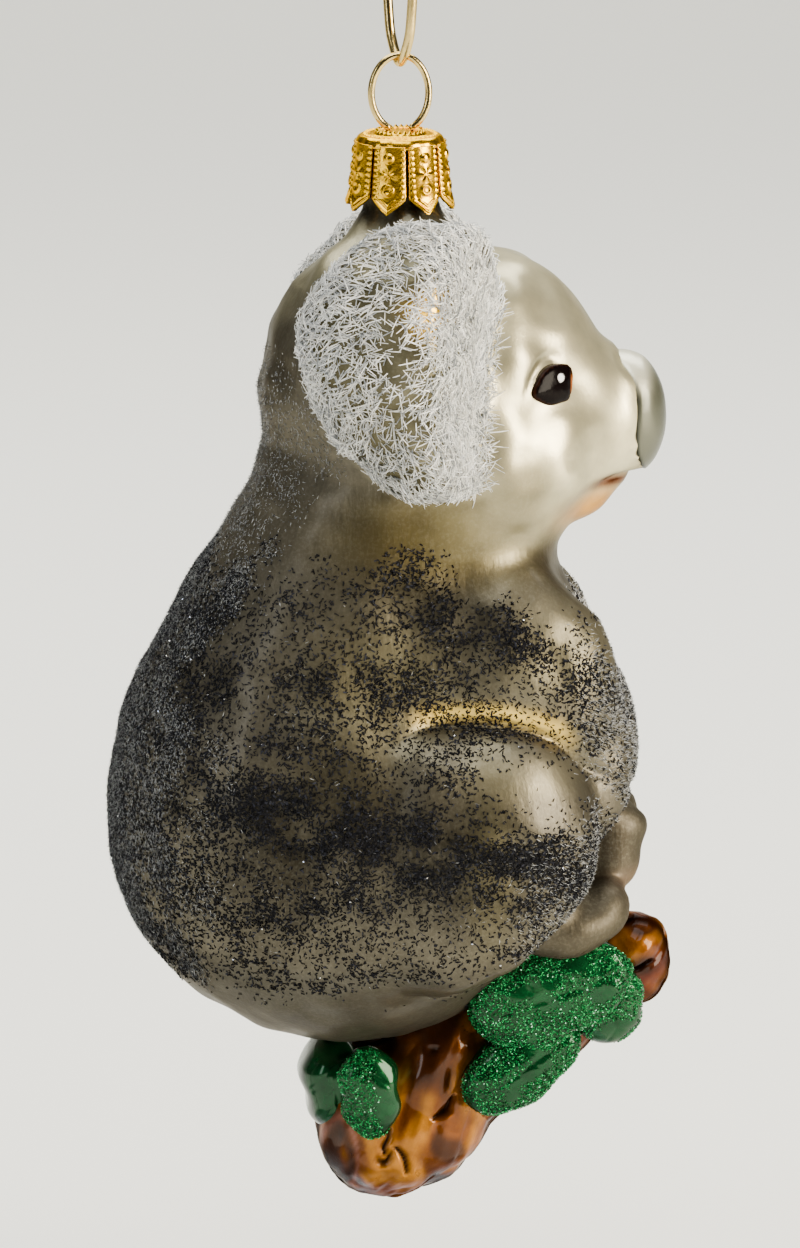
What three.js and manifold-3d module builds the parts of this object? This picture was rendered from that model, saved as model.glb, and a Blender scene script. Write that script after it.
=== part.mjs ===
// A mouth-blown glass ornament: a koala sitting on a forked gum branch. It hangs by the wire ring of
// its crown cap from an S-shaped hook, on a plain display stand.
// Millimetres, +Z up. The koala looks along +X and its left side is +Y. The origin lies on the
// underside of the stand's base, straight below the hook.

import * as THREE from "three";
import { mergeVertices } from "three/addons/utils/BufferGeometryUtils.js";
import Module from "manifold-3d";

const wasm = await Module();
wasm.setup();

// Driving dimensions
const gap = 0.3; // clear space between neighbouring solids
const glassFoot = 22; // floor to the lowest glass
const neckRadius = 4.1; // glass neck inside the cap
const neckTop = 120.4; // top rim of the glass, from here on measured above the lowest glass
const capTop = 122.4;
const capHeight = 9;
const capTopRadius = 4.5;
const capHemRadius = 5.9;
const capSheet = 0.5; // thickness of the pressed brass
const capTilt = THREE.MathUtils.degToRad(3.5); // it sits a little askew, towards the right side
const petals = 8;
const ringWire = 0.8;
const ringWidth = 6.2; // across the wire's centreline
const ringHeight = 8.4;
const hookWire = 1.1;
const hookReach = 3; // half the width of the hook's lower bend
const hookDrop = 17; // arm's axis to the lowest point of the hook's centreline
const hookTurn = THREE.MathUtils.degToRad(-24); // the hook's plane against the YZ plane
const rod = 3; // diameter of the stand's rod
const postX = -56;
const bendRadius = 12;
const armEnd = 6;
const headBlend = 5; // how softly the balls of the head flow together
const trunkBlend = 9;
const earShift = { back: 0.4, up: 1.2 }; // the right ear is moved so, the left one the other way
const base = { length: 96, width: 60, thickness: 4, centreX: -18, edge: 0.8 };

const lacquer = (color, roughness, metalness = 0) =>
  new THREE.MeshStandardMaterial({ color, roughness, metalness });
const materials = {
  fur: lacquer(0x77705c, 0.35, 0.6),
  face: lacquer(0xc9c8ba, 0.3, 0.5),
  nose: lacquer(0x7d827d, 0.2, 0.4),
  eye: lacquer(0x1c0f0a, 0.12),
  flock: lacquer(0xd4d6d6, 0.9),
  bark: lacquer(0x7a4310, 0.18, 0.3),
  leaf: lacquer(0x0e5a2c, 0.2, 0.2),
  brass: lacquer(0xd9a324, 0.25, 1),
  wire: lacquer(0xc9b070, 0.25, 1),
  stand: lacquer(0xb9bcc0, 0.35, 0.9),
};

// ---------------------------------------------------------------- soft forms

// A ball is an ellipsoid, turned about Z (yaw), Y (pitch) and X (roll) in degrees. With a taper its
// cross-section grows along its own x axis, which makes it egg-shaped; a power over 2 squares it up.
function ball([x, y, z], [rx, ry, rz], { yaw = 0, pitch = 0, roll = 0, taper = 0, power = 2 } = {}) {
  const angles = new THREE.Euler(...[roll, pitch, yaw].map(THREE.MathUtils.degToRad), "ZYX");
  const turn = new THREE.Quaternion().setFromEuler(angles);
  return {
    centre: new THREE.Vector3(x, y, z),
    radii: new THREE.Vector3(rx, ry, rz),
    turn,
    inverse: turn.clone().invert(),
    taper,
    power,
  };
}

// Distance from a point to a ball, near enough to blend with.
function distanceTo({ centre, radii, inverse, taper, power }, point) {
  const p = point.clone().sub(centre).applyQuaternion(inverse);
  const grow = 1 + (taper * THREE.MathUtils.clamp(p.x, -radii.x, radii.x)) / radii.x;
  const size = new THREE.Vector3(radii.x, radii.y * grow, radii.z * grow);
  const q = p.divide(size);
  const slope = q.clone().divide(size).length();
  const length = [...q].reduce((sum, value) => sum + Math.abs(value) ** power, 0) ** (1 / power);
  return slope < 1e-9 ? -Math.min(...size) : (length * (length - 1)) / slope;
}

function softMin(a, b, blend) {
  const h = Math.max(blend - Math.abs(a - b), 0) / blend;
  return Math.min(a, b) - (h * h * blend) / 4;
}

// Balls flow together over `blend`.
function formDistance({ balls, blend }, point) {
  return balls.map((b) => distanceTo(b, point)).reduce((a, b) => softMin(a, b, blend));
}

// How far one can go, up to `limit`, before `within` stops being true.
function reachWhile(within, limit) {
  let inside = 0;
  let outside = limit;
  for (let step = 0; step < 24; step++) {
    const middle = (inside + outside) / 2;
    if (within(middle)) inside = middle;
    else outside = middle;
  }
  return inside;
}

// The form's skin: an icosphere whose corners slide along rays from the centre to where the form,
// grown by `grow`, ends. The rays are spread by the form's own proportions. A form with a `front` is
// cut off flat there, as the ears are.
function skin(form, grow = 0) {
  const { centre, spread, detail, front } = form;
  const geometry = new THREE.IcosahedronGeometry(1, detail);
  const corners = geometry.attributes.position;
  const direction = new THREE.Vector3();
  const probe = new THREE.Vector3();
  const within = (reach) => {
    probe.copy(centre).addScaledVector(direction, reach);
    return formDistance(form, probe) < grow;
  };
  for (let i = 0; i < corners.count; i++) {
    direction.fromBufferAttribute(corners, i).multiply(spread).normalize();
    const reach = reachWhile(within, 2 * Math.max(...spread));
    probe.copy(centre).addScaledVector(direction, reach);
    corners.setXYZ(i, probe.x, probe.y, probe.z);
  }
  const whole = solidFrom(geometry);
  if (!front) return whole;
  const inward = front.normal.clone().negate();
  return whole.trimByPlane([...inward], front.constant - grow);
}

// ---------------------------------------------------------------- solids

// three.js geometry to a solid that can be cut and joined.
function solidFrom(geometry) {
  const bare = geometry.clone();
  bare.deleteAttribute("normal");
  bare.deleteAttribute("uv");
  const merged = mergeVertices(bare, 1e-4);
  return new wasm.Manifold(
    new wasm.Mesh({
      numProp: 3,
      vertProperties: new Float32Array(merged.attributes.position.array),
      triVerts: new Uint32Array(merged.index.array),
    }),
  );
}

// A solid back to three.js, drawn about `centre` and placed there. Only its largest body is kept.
function meshFrom(name, solid, material, centre = new THREE.Vector3()) {
  const bodies = solid.decompose().sort((a, b) => b.volume() - a.volume());
  const { vertProperties, triVerts } = bodies[0].getMesh();
  const geometry = new THREE.BufferGeometry();
  geometry.setAttribute("position", new THREE.BufferAttribute(vertProperties, 3));
  geometry.setIndex(new THREE.BufferAttribute(triVerts, 1));
  geometry.translate(-centre.x, -centre.y, -centre.z);
  geometry.computeVertexNormals();
  const mesh = new THREE.Mesh(geometry, material);
  mesh.name = name;
  mesh.position.copy(centre);
  return mesh;
}

function plainMesh(name, geometry, material) {
  const mesh = new THREE.Mesh(geometry, material);
  mesh.name = name;
  return mesh;
}

// ---------------------------------------------------------------- the glass figure

const forms = [];

// Adds a form. The order matters: each form is kept whole against those that follow it.
function form(name, material, detail, blend, balls, front) {
  const centre = balls.reduce((sum, b) => sum.add(b.centre), new THREE.Vector3());
  centre.divideScalar(balls.length);
  const spread = new THREE.Vector3();
  for (const b of balls) {
    const reach = new THREE.Vector3();
    for (const axis of ["x", "y", "z"]) {
      const half = new THREE.Vector3();
      half[axis] = b.radii[axis];
      half.applyQuaternion(b.turn);
      reach.add(half.multiply(half));
    }
    const offset = b.centre.clone().sub(centre);
    spread.x = Math.max(spread.x, Math.abs(offset.x) + Math.sqrt(reach.x));
    spread.y = Math.max(spread.y, Math.abs(offset.y) + Math.sqrt(reach.y));
    spread.z = Math.max(spread.z, Math.abs(offset.z) + Math.sqrt(reach.z));
  }
  forms.push({ name, material, detail, blend, balls, front, centre, spread });
}

const sides = { right: -1, left: 1 };

const skull = [
  ball([-0.4, 0, 94], [15.2, 17.6, 15.2]), // skull
  ball([8.4, 0, 95.6], [13.9, 15, 13.3], { pitch: 8 }), // forehead
  ball([15.7, 0, 87.4], [9.6, 9.8, 9.8], { pitch: 12 }), // muzzle
  ball([17.2, 0, 92.6], [8.2, 7.6, 6.2], { pitch: 22 }), // bridge of the nose
  ball([8.2, -8.6, 86.2], [11, 8.6, 9.8]), // cheeks
  ball([8.2, 8.6, 86.2], [11, 8.6, 9.8]),
];

// How far to the side the head's skin lies at a place in its profile.
function headHalfWidth(x, z) {
  const head = { balls: skull, blend: headBlend };
  return reachWhile((y) => formDistance(head, new THREE.Vector3(x, y, z)) < 0, 30);
}

for (const [side, s] of Object.entries(sides)) {
  const x = 16.6;
  const z = 95;
  form(`eye_${side}`, materials.eye, 1, 1, [
    ball([x, s * (headHalfWidth(x, z) - 0.7), z], [2.9, 1.8, 2.4], { yaw: s * -44 }),
  ]);
}

form("head", materials.face, 4, headBlend, skull);

form("trunk", materials.fur, 5, trunkBlend, [
  ball([-7.4, 0, 41.7], [25.9, 24, 23.3], { pitch: 18 }), // rump and belly
  ball([-9.7, 0, 56], [20.3, 20.4, 16.4]), // back
  ball([-5, 0, 69.2], [18, 17.4, 12]), // shoulders
  ball([7.6, 0, 61.8], [15.2, 16.4, 13.4]), // chest
  ball([-0.2, 0, 80], [16.6, 15.4, 12]), // neck
]);

// The nose pad and the chin under it
form("nose", materials.nose, 2, 2, [
  ball([24.6, 0, 90.1], [5.3, 5.8, 6.9], { pitch: -3, power: 2.3 }),
  ball([24, 0, 86.2], [3.9, 4.6, 3]),
]);
form("chin", materials.face, 1, 1, [ball([20.3, 0, 81.5], [4.6, 5, 2.5], { pitch: -40 })]);

for (const [side, s] of Object.entries(sides)) {
  // The ear is a deep dome whose flat, furry side looks forward and a little outward.
  const earFront = new THREE.Plane().setFromNormalAndCoplanarPoint(
    new THREE.Vector3(1, s * 0.5, 0.02).normalize(),
    new THREE.Vector3(7.4 + s * earShift.back, s * 19, 98),
  );
  form(
    `ear_${side}`,
    materials.flock,
    3,
    5,
    [
      ball([2.6 + s * earShift.back, s * 17.8, 98.6 - s * earShift.up], [14.8, 9.6, 14.2]),
      ball([3.4 + s * earShift.back, s * 17.6, 90.4 - s * earShift.up], [9, 8, 8.4]),
    ],
    earFront,
  );
  form(`thigh_${side}`, materials.fur, 3, 4, [
    ball([6.9, s * 15.4, 43.2], [15.2, 11.8, 17.2], { pitch: 6, power: 2.5 }),
  ]);
  form(`upper_arm_${side}`, materials.fur, 2, 4, [
    ball([12.8, s * 12.6, 61.8], [10.8, 7.6, 12.6], { pitch: -24 }),
  ]);
  form(`forearm_${side}`, materials.fur, 2, 3, [
    ball([20.4, s * 9, 54.2], [5.8, 5.8, 11.4], { pitch: 1, roll: s * 26 }),
  ]);
  form(`hand_${side}`, materials.fur, 2, 2, [
    ball([23.2, s * 5, 42], [4, 4.3, 5.8], { pitch: 4 }),
    ball([23.6, s * 5, 39.2], [2.9, 3.8, 3]), // heel of the hand
    ball([25.6, s * 4.4, 43.8], [2.2, 3.2, 2]), // thumb
  ]);
  form(`foot_${side}`, materials.fur, 2, 2.5, [
    ball([18.2, s * 10.8, 31.4], [6.9, 5, 4.2], { pitch: -6, yaw: s * -12 }),
    ball([22.4, s * 10.2, 36], [2.8, 3.2, 2.4]), // great toe
  ]);
}

// The branch: the butt of the log, the limb that carries the seat, and the front limb.
form("branch_butt", materials.bark, 2, 3, [
  ball([-3.2, 0, 6.8], [6, 8, 6.8]),
  ball([2.6, 0, 7.2], [7.8, 7.6, 6], { pitch: -35 }),
  ball([-4.4, 0, 11.6], [5, 6.8, 6]),
]);
form("branch_seat", materials.bark, 2, 3, [
  ball([3.6, 0, 15.8], [5.6, 7.6, 11], { pitch: 16 }),
]);
form("branch_front", materials.bark, 2, 3, [
  ball([14, 0, 17.7], [13.8, 6.8, 5.5], { pitch: -42 }),
]);
form("branch_stub", materials.bark, 1, 2, [
  ball([26.2, 0, 28], [4.6, 4.8, 4.3], { pitch: -30 }),
  ball([27.2, 0, 25], [2.8, 3.6, 3]),
]);

// Sprays of leaves on both sides, and one leaf behind.
for (const [side, s] of Object.entries(sides)) {
  form(`leaf_top_${side}`, materials.leaf, 1, 2, [
    ball([16, s * 8.2, 24.4], [9.3, 3, 4.9], { pitch: -20, taper: -0.1 }),
  ]);
  form(`leaf_front_${side}`, materials.leaf, 1, 2, [
    ball([24, s * 6.2, 23], [5.4, 3.2, 4.2], { pitch: 64, taper: -0.1 }),
  ]);
  form(`leaf_low_${side}`, materials.leaf, 1, 2, [
    ball([12.4, s * 7.2, 15.5], [7.1, 3, 3], { pitch: -34, taper: -0.1 }),
  ]);
  form(`leaf_rear_${side}`, materials.leaf, 1, 2, [
    ball([-4, s * 7, 13.4], [5.3, 2.6, 3.3], { pitch: 84, taper: -0.1 }),
  ]);
}
form("leaf_tail", materials.leaf, 1, 2, [
  ball([-7.6, 0, 13], [5.6, 6, 3.6], { pitch: 84 }),
]);

// The glass neck flares into the crown of the head.
function neckSolid(grow = 0) {
  const profile = [
    [0, 98],
    [11.2, 104.9],
    [9.1, 107.3],
    [7.1, 109.6],
    [5.4, 111.8],
    [neckRadius, 114],
    [neckRadius, neckTop],
    [0, neckTop],
  ].map(([r, z]) => new THREE.Vector2(r ? r + grow : 0, z));
  return solidFrom(new THREE.LatheGeometry(profile, 18).rotateX(Math.PI / 2));
}

function figure() {
  const group = new THREE.Group();
  const whole = forms.map((f) => skin(f));
  const grown = forms.map((f) => skin(f, gap));
  forms.forEach((f, i) => {
    let solid = whole[i];
    for (const earlier of grown.slice(0, i)) solid = solid.subtract(earlier);
    group.add(meshFrom(f.name, solid, f.material, f.centre));
  });
  let neck = neckSolid();
  for (const other of grown) neck = neck.subtract(other);
  group.add(meshFrom("neck", neck, materials.fur));
  return group;
}

// ---------------------------------------------------------------- cap, ring and hook

// The crown cap: a pressed brass shell with slots and pointed tips between its petals.
function cap() {
  const shoulder = 1;
  const boss = 2.6;
  const hem = capTop - capHeight;
  const profile = [
    [0, capTop],
    [boss, capTop],
    [boss + 0.2, capTop - 0.5],
    [capTopRadius, capTop - 0.6],
    [capTopRadius + 0.5, capTop - 0.6 - shoulder],
    [capHemRadius, hem],
    [capHemRadius - capSheet, hem],
    [capTopRadius, capTop - 0.8 - shoulder],
    [capTopRadius - 0.4, capTop - 0.6 - capSheet],
    [0, capTop - 0.6 - capSheet],
  ].map(([r, z]) => new THREE.Vector2(r, z));
  profile.reverse();
  const shell = new THREE.LatheGeometry(profile, 2 * petals).rotateX(Math.PI / 2);
  let solid = solidFrom(shell);
  const pitch = (2 * Math.PI) / petals;
  const tipHeight = 2.2;
  const halfPetal = capHemRadius * Math.tan(pitch / 2) + 0.05;
  const notch = new THREE.Shape([
    new THREE.Vector2(-halfPetal, -0.5),
    new THREE.Vector2(halfPetal, -0.5),
    new THREE.Vector2(halfPetal, 0),
    new THREE.Vector2(0.2, tipHeight),
    new THREE.Vector2(0.2, capHeight - 2.4),
    new THREE.Vector2(-0.2, capHeight - 2.4),
    new THREE.Vector2(-0.2, tipHeight),
    new THREE.Vector2(-halfPetal, 0),
  ]);
  for (let i = 0; i < petals; i++) {
    const cutter = new THREE.ExtrudeGeometry(notch, { depth: 5, bevelEnabled: false });
    cutter.rotateX(Math.PI / 2).rotateZ(i * pitch);
    const outward = new THREE.Vector2(0, 1).rotateAround(new THREE.Vector2(), i * pitch);
    cutter.translate(outward.x * 8, outward.y * 8, hem);
    solid = solid.subtract(solidFrom(cutter));
  }
  const middle = new THREE.Vector3(0, 0, capTop - capHeight / 2);
  const mesh = meshFrom("cap", solid, materials.brass, middle);
  mesh.rotation.x = capTilt;
  return mesh;
}

// A round wire of `diameter` along a curve.
function wire(curve, diameter, steps) {
  const section = new THREE.Shape().absarc(0, 0, diameter / 2, 0, 2 * Math.PI);
  return new THREE.ExtrudeGeometry(section, {
    extrudePath: curve,
    steps,
    curveSegments: 3,
    bevelEnabled: false,
  });
}

const ringCut = 0.9; // how much of the oval is missing where its ends stand on the cap
const ringCentreZ = capTop + gap + 0.1 + ringHeight / 2 - ringCut;

// The ring is an upright oval of wire whose two ends stand on the cap.
function ring() {
  const foot = Math.acos((ringHeight / 2 - ringCut) / (ringHeight / 2));
  const curve = new THREE.Curve();
  curve.getPoint = (t) => {
    const a = foot + t * 2 * (Math.PI - foot) - Math.PI / 2;
    return new THREE.Vector3((Math.cos(a) * ringWidth) / 2, 0, (Math.sin(a) * ringHeight) / 2);
  };
  const mesh = plainMesh("ring", wire(curve, ringWire, 18), materials.wire);
  mesh.position.z = ringCentreZ;
  return mesh;
}

const hookLowZ = ringCentreZ + ringHeight / 2 - (ringWire + hookWire) / 2 - gap;

// The hook: a narrow open bend below, an open crook over the stand's arm above.
function hook() {
  const crook = rod / 2 + gap + hookWire / 2 + 0.3;
  const lower = [0.93, 0.8, 0.55, 0.25].map((u) => [
    hookReach * Math.sqrt(1 - (1 - u) ** 2),
    10.4 * u,
  ]);
  const shank = [
    [-hookReach + 0.2, 9.4],
    [-0.6, 12.2],
  ];
  const upper = [10, 60, 110, 160, 205].map((degrees) => {
    const a = THREE.MathUtils.degToRad(degrees - 20);
    return [crook * Math.cos(a), hookDrop + crook * Math.sin(a)];
  });
  const mirrored = lower.slice(1).reverse().map(([s, z]) => [-s, z]);
  const outline = [...lower, [0, 0], ...mirrored, ...shank, ...upper];
  const points = outline.map(([s, z]) => new THREE.Vector3(0, -s, z));
  const curve = new THREE.CatmullRomCurve3(points, false, "centripetal");
  const mesh = plainMesh("hook", wire(curve, hookWire, 28), materials.wire);
  mesh.rotation.z = -hookTurn;
  mesh.position.z = hookLowZ;
  return mesh;
}

// ---------------------------------------------------------------- display stand

const armZ = glassFoot + hookLowZ + hookDrop;

function standBase() {
  const half = base.length / 2 - base.width / 2;
  const radius = base.width / 2 - base.edge;
  const outline = new THREE.Shape();
  outline.absarc(half, 0, radius, -Math.PI / 2, Math.PI / 2);
  outline.absarc(-half, 0, radius, Math.PI / 2, 1.5 * Math.PI);
  const geometry = new THREE.ExtrudeGeometry(outline, {
    depth: base.thickness - 2 * base.edge,
    bevelThickness: base.edge,
    bevelSize: base.edge,
    bevelSegments: 1,
    curveSegments: 8,
  });
  const mesh = plainMesh("stand_base", geometry, materials.stand);
  mesh.position.set(base.centreX, 0, base.edge);
  return mesh;
}

// A straight length of the rod from one height to another.
function rodLength(name, length) {
  const geometry = new THREE.CylinderGeometry(rod / 2, rod / 2, length, 16);
  return plainMesh(name, geometry.rotateX(Math.PI / 2), materials.stand);
}

function stand() {
  const group = new THREE.Group();
  const postFoot = base.thickness + gap;
  const postTop = armZ - bendRadius - gap;
  const post = rodLength("stand_post", postTop - postFoot);
  post.position.set(postX, 0, (postFoot + postTop) / 2);

  const corner = new THREE.Curve();
  corner.getPoint = (t) => {
    const a = Math.PI - (t * Math.PI) / 2;
    return new THREE.Vector3(bendRadius * Math.cos(a), 0, bendRadius * Math.sin(a));
  };
  const bend = plainMesh("stand_bend", wire(corner, rod, 8), materials.stand);
  bend.position.set(postX + bendRadius, 0, armZ - bendRadius);

  const armStart = postX + bendRadius + gap;
  const arm = rodLength("stand_arm", armEnd - armStart);
  arm.rotation.y = Math.PI / 2;
  arm.position.set((armStart + armEnd) / 2, 0, armZ);

  const knob = plainMesh("stand_knob", new THREE.SphereGeometry(2.6, 12, 8), materials.stand);
  knob.position.set(armEnd + gap + 2.6, 0, armZ);

  group.add(standBase(), post, bend, arm, knob);
  return group;
}

// ---------------------------------------------------------------- assembly

const ornament = new THREE.Group();
ornament.position.z = glassFoot;
ornament.add(figure(), cap(), ring(), hook());

const root = new THREE.Group();
root.add(ornament, stand());

export default root;
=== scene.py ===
# A blown glass koala on its gum branch, hung from a display stand: the looks of every piece.
# Places are in millimetres. x runs forward along the koala, y to its left, z up from the table,
# and heights written as "above the glass" count from the lowest glass.
import math
import bpy
import numpy as np
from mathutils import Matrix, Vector


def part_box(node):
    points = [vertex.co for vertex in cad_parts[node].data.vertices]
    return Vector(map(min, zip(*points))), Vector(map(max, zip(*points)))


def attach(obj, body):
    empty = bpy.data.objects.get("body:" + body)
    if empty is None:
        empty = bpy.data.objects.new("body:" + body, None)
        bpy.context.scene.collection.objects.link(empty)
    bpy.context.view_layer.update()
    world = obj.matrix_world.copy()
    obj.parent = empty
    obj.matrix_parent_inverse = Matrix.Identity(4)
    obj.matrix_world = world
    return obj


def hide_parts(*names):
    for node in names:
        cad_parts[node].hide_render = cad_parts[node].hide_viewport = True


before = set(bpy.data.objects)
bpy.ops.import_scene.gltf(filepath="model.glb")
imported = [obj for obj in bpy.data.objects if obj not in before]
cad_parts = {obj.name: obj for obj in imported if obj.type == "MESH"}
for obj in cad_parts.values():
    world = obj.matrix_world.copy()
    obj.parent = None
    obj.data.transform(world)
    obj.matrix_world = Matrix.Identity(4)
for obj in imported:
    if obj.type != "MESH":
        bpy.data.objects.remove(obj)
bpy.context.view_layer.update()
mm = 0.001
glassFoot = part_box("branch_butt")[0].z / mm  # table to the lowest glass
both = {"right": -1, "left": 1}


# Small tools

def smoothStep(low, high, value):  # 0 below low, 1 above high, a soft S between them
    t = np.clip((value - low) / (high - low), 0, 1)
    return t * t * (3 - 2 * t)


def fade(edges, name, value):  # the soft step between a named pair of edges
    return smoothStep(*edges[name], value)


def blendTo(a, b, share):  # a where share is 0, b where it is 1
    return a + (b - a) * share


def bell(value, width):  # 1 at nought, falling to a third at `width` on both sides
    return np.exp(-(value / width) ** 2)


def unit(vectors):
    return vectors / np.maximum(np.linalg.norm(vectors, axis=-1, keepdims=True), 1e-9)


def ripple(points, size, seed, count=14):
    # Soft random unevenness of about -1 to 1: a sum of sine waves that run in random directions,
    # each with a wavelength near `size`.
    random = np.random.default_rng(seed)
    ways = unit(random.normal(size=(count, 3))) * (2 * np.pi / size)
    ways *= random.uniform(0.6, 1.5, (count, 1))
    phases = random.uniform(0, 2 * np.pi, count)
    return np.sin(points @ ways.T + phases).sum(-1) / math.sqrt(count / 2) / 1.6


def linear(code):  # "#rrggbb" as the red, green, blue and alpha that Blender works with
    shares = np.array([int(code[i:i + 2], 16) / 255 for i in (1, 3, 5)])
    light = np.where(shares > 0.04045, ((shares + 0.055) / 1.055) ** 2.4, shares / 12.92)
    return (*[float(value) for value in light], 1.0)


def tonesOf(palette):  # each colour of a palette, its codes turned into red, green and blue
    return {key: np.array(linear(code)[:3]) for key, code in palette.items() if isinstance(code, str)}


def lay(colour, tone, share):  # a tone laid over a field of colours, a share for each point
    return blendTo(colour, tone, share[..., None])


# Meshes

def gridFaces(rows, columns, closedRound=True):
    # Two triangles for each cell of a grid whose rows are numbered one after the other.
    index = np.arange(rows * columns).reshape(rows, columns)
    last = columns if closedRound else columns - 1
    here = index[:, :last]
    beside = np.roll(index, -1, axis=1)[:, :last]
    low = np.stack([here[:-1], beside[:-1], beside[1:]], -1).reshape(-1, 3)
    high = np.stack([here[:-1], beside[1:], here[1:]], -1).reshape(-1, 3)
    return np.concatenate([low, high])


def closeGrid(rings):
    # Rings of points, from the first pole to the last, with each pole closed by a fan of triangles.
    rows, columns = rings.shape[:2]
    points = np.concatenate([rings.reshape(-1, 3), [rings[0].mean(0)], [rings[-1].mean(0)]])
    around = np.arange(columns)
    beside = np.roll(around, -1)
    top = (rows - 1) * columns
    first = np.stack([beside, around, np.full(columns, rows * columns)], -1)
    last = np.stack([top + around, top + beside, np.full(columns, rows * columns + 1)], -1)
    return points, np.concatenate([gridFaces(rows, columns), first, last])


def closeSheet(outer, inner):
    # A thin wall: the outer grid, the inner one turned round, and a strip along their shared edge.
    rows, columns = outer.shape[:2]
    count = rows * columns
    index = np.arange(count).reshape(rows, columns)
    rim = np.concatenate([index[0, :-1], index[:-1, -1], index[-1, :0:-1], index[:0:-1, 0]])
    after = np.roll(rim, -1)
    face = gridFaces(rows, columns, False)
    strip = np.stack([after, rim, rim + count], -1)
    strip2 = np.stack([after, rim + count, after + count], -1)
    points = np.concatenate([outer.reshape(-1, 3), inner.reshape(-1, 3)])
    return points, np.concatenate([face, face[:, ::-1] + count, strip, strip2])


def joinShapes(shapes):  # several (points, faces) pairs as one
    points = np.concatenate([shape[0] for shape in shapes])
    starts = np.cumsum([0] + [len(shape[0]) for shape in shapes[:-1]])
    faces = np.concatenate([shape[1] + start for shape, start in zip(shapes, starts)])
    return points, faces


def makePiece(name, points, faces, finish, body, nodes=(), smooth=True):
    # A mesh from points in millimetres and triangles, riding a body and standing in for its nodes.
    mesh = bpy.data.meshes.new(name)
    mesh.vertices.add(len(points))
    mesh.vertices.foreach_set("co", (points * mm).astype(np.float32).ravel())
    mesh.loops.add(faces.size)
    mesh.loops.foreach_set("vertex_index", faces.astype(np.int32).ravel())
    mesh.polygons.add(len(faces))
    mesh.polygons.foreach_set("loop_start", np.arange(0, faces.size, 3, dtype=np.int32))
    mesh.polygons.foreach_set("use_smooth", np.full(len(faces), smooth))
    mesh.update(calc_edges=True)
    mesh.materials.append(finish)
    piece = bpy.data.objects.new(name, mesh)
    bpy.context.scene.collection.objects.link(piece)
    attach(piece, body)
    if nodes:
        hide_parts(*nodes)
    return piece


def addPaint(piece, name, colours):  # one colour for each point of the mesh
    layer = piece.data.attributes.new(name, "FLOAT_COLOR", "POINT")
    full = np.ones((len(colours), 4), np.float32)
    full[:, :3] = colours
    layer.data.foreach_set("color", full.ravel())


def addValue(piece, name, values):  # one number for each point of the mesh
    layer = piece.data.attributes.new(name, "FLOAT", "POINT")
    layer.data.foreach_set("value", np.asarray(values, np.float32))


def addMap(piece, name, spots, faces):  # a UV map from one spot for each point of the mesh
    layer = piece.data.uv_layers.new(name=name)
    layer.data.foreach_set("uv", spots[faces.ravel()].astype(np.float32).ravel())


# Materials

class Wire:  # one socket's output, on which sums can be written in Python
    def __init__(self, finish, socket):
        self.finish = finish
        self.socket = socket

    def sum(self, operation, a, b):
        return self.finish.node("Math", {"operation": operation}, {0: a, 1: b})

    def __add__(self, other):
        return self.sum("ADD", self, other)

    def __radd__(self, other):
        return self.sum("ADD", other, self)

    def __sub__(self, other):
        return self.sum("SUBTRACT", self, other)

    def __rsub__(self, other):
        return self.sum("SUBTRACT", other, self)

    def __mul__(self, other):
        return self.sum("MULTIPLY", self, other)

    def __rmul__(self, other):
        return self.sum("MULTIPLY", other, self)

    def __pow__(self, other):
        return self.sum("POWER", self, other)


class Finish:  # one material, built around its main shader
    def __init__(self, name, fixed):
        self.material = bpy.data.materials.new(name)
        self.material.use_nodes = True
        self.tree = self.material.node_tree
        self.shader = self.tree.nodes["Principled BSDF"]
        for socket, value in fixed.items():
            self.shader.inputs[socket].default_value = value

    def node(self, kind, settings=None, inputs=None, output=0):
        made = self.tree.nodes.new("ShaderNode" + kind)
        for name, value in (settings or {}).items():
            setattr(made, name, value)
        for socket, value in (inputs or {}).items():
            self.feed(made.inputs[socket], value)
        return Wire(self, made.outputs[output])

    def feed(self, socket, value):
        if isinstance(value, Wire):
            self.tree.links.new(value.socket, socket)
        else:
            socket.default_value = value

    def set(self, socket, value):
        self.feed(self.shader.inputs[socket], value)

    def place(self):  # where on the object, in metres
        return self.node("TexCoord", output="Object")

    def attribute(self, name, output="Color"):
        return self.node("Attribute", {"attribute_name": name}, output=output)

    def noise(self, scale, detail=3, roughness=0.5, stretch=(1, 1, 1)):
        spot = self.node("Mapping", inputs={"Vector": self.place(), "Scale": stretch})
        inputs = {"Vector": spot, "Scale": scale, "Detail": detail, "Roughness": roughness}
        return self.node("TexNoise", inputs=inputs)

    def band(self, value, low, high):  # 0 below low, 1 above high
        limits = {"Value": value, "From Min": low, "From Max": high}
        return self.node("MapRange", inputs=limits)

    def mix(self, share, a, b, way="MIX"):
        inputs = {0: share, 6: a, 7: b}
        return self.node("Mix", {"data_type": "RGBA", "blend_type": way}, inputs, 2)

    def bump(self, height, strength, depth):
        inputs = {"Height": height, "Strength": strength, "Distance": depth}
        self.set("Normal", self.node("Bump", inputs=inputs))


# Camera, stage and lights

view = {"azimuth": -4.5, "elevation": 10.5, "distance": 700, "aim": (0, 0, 88), "height": 140.9}
stage = {"front": -4500, "wall": 2300, "bend": 900, "width": 9000, "rise": 2600, "columns": 5}


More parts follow.
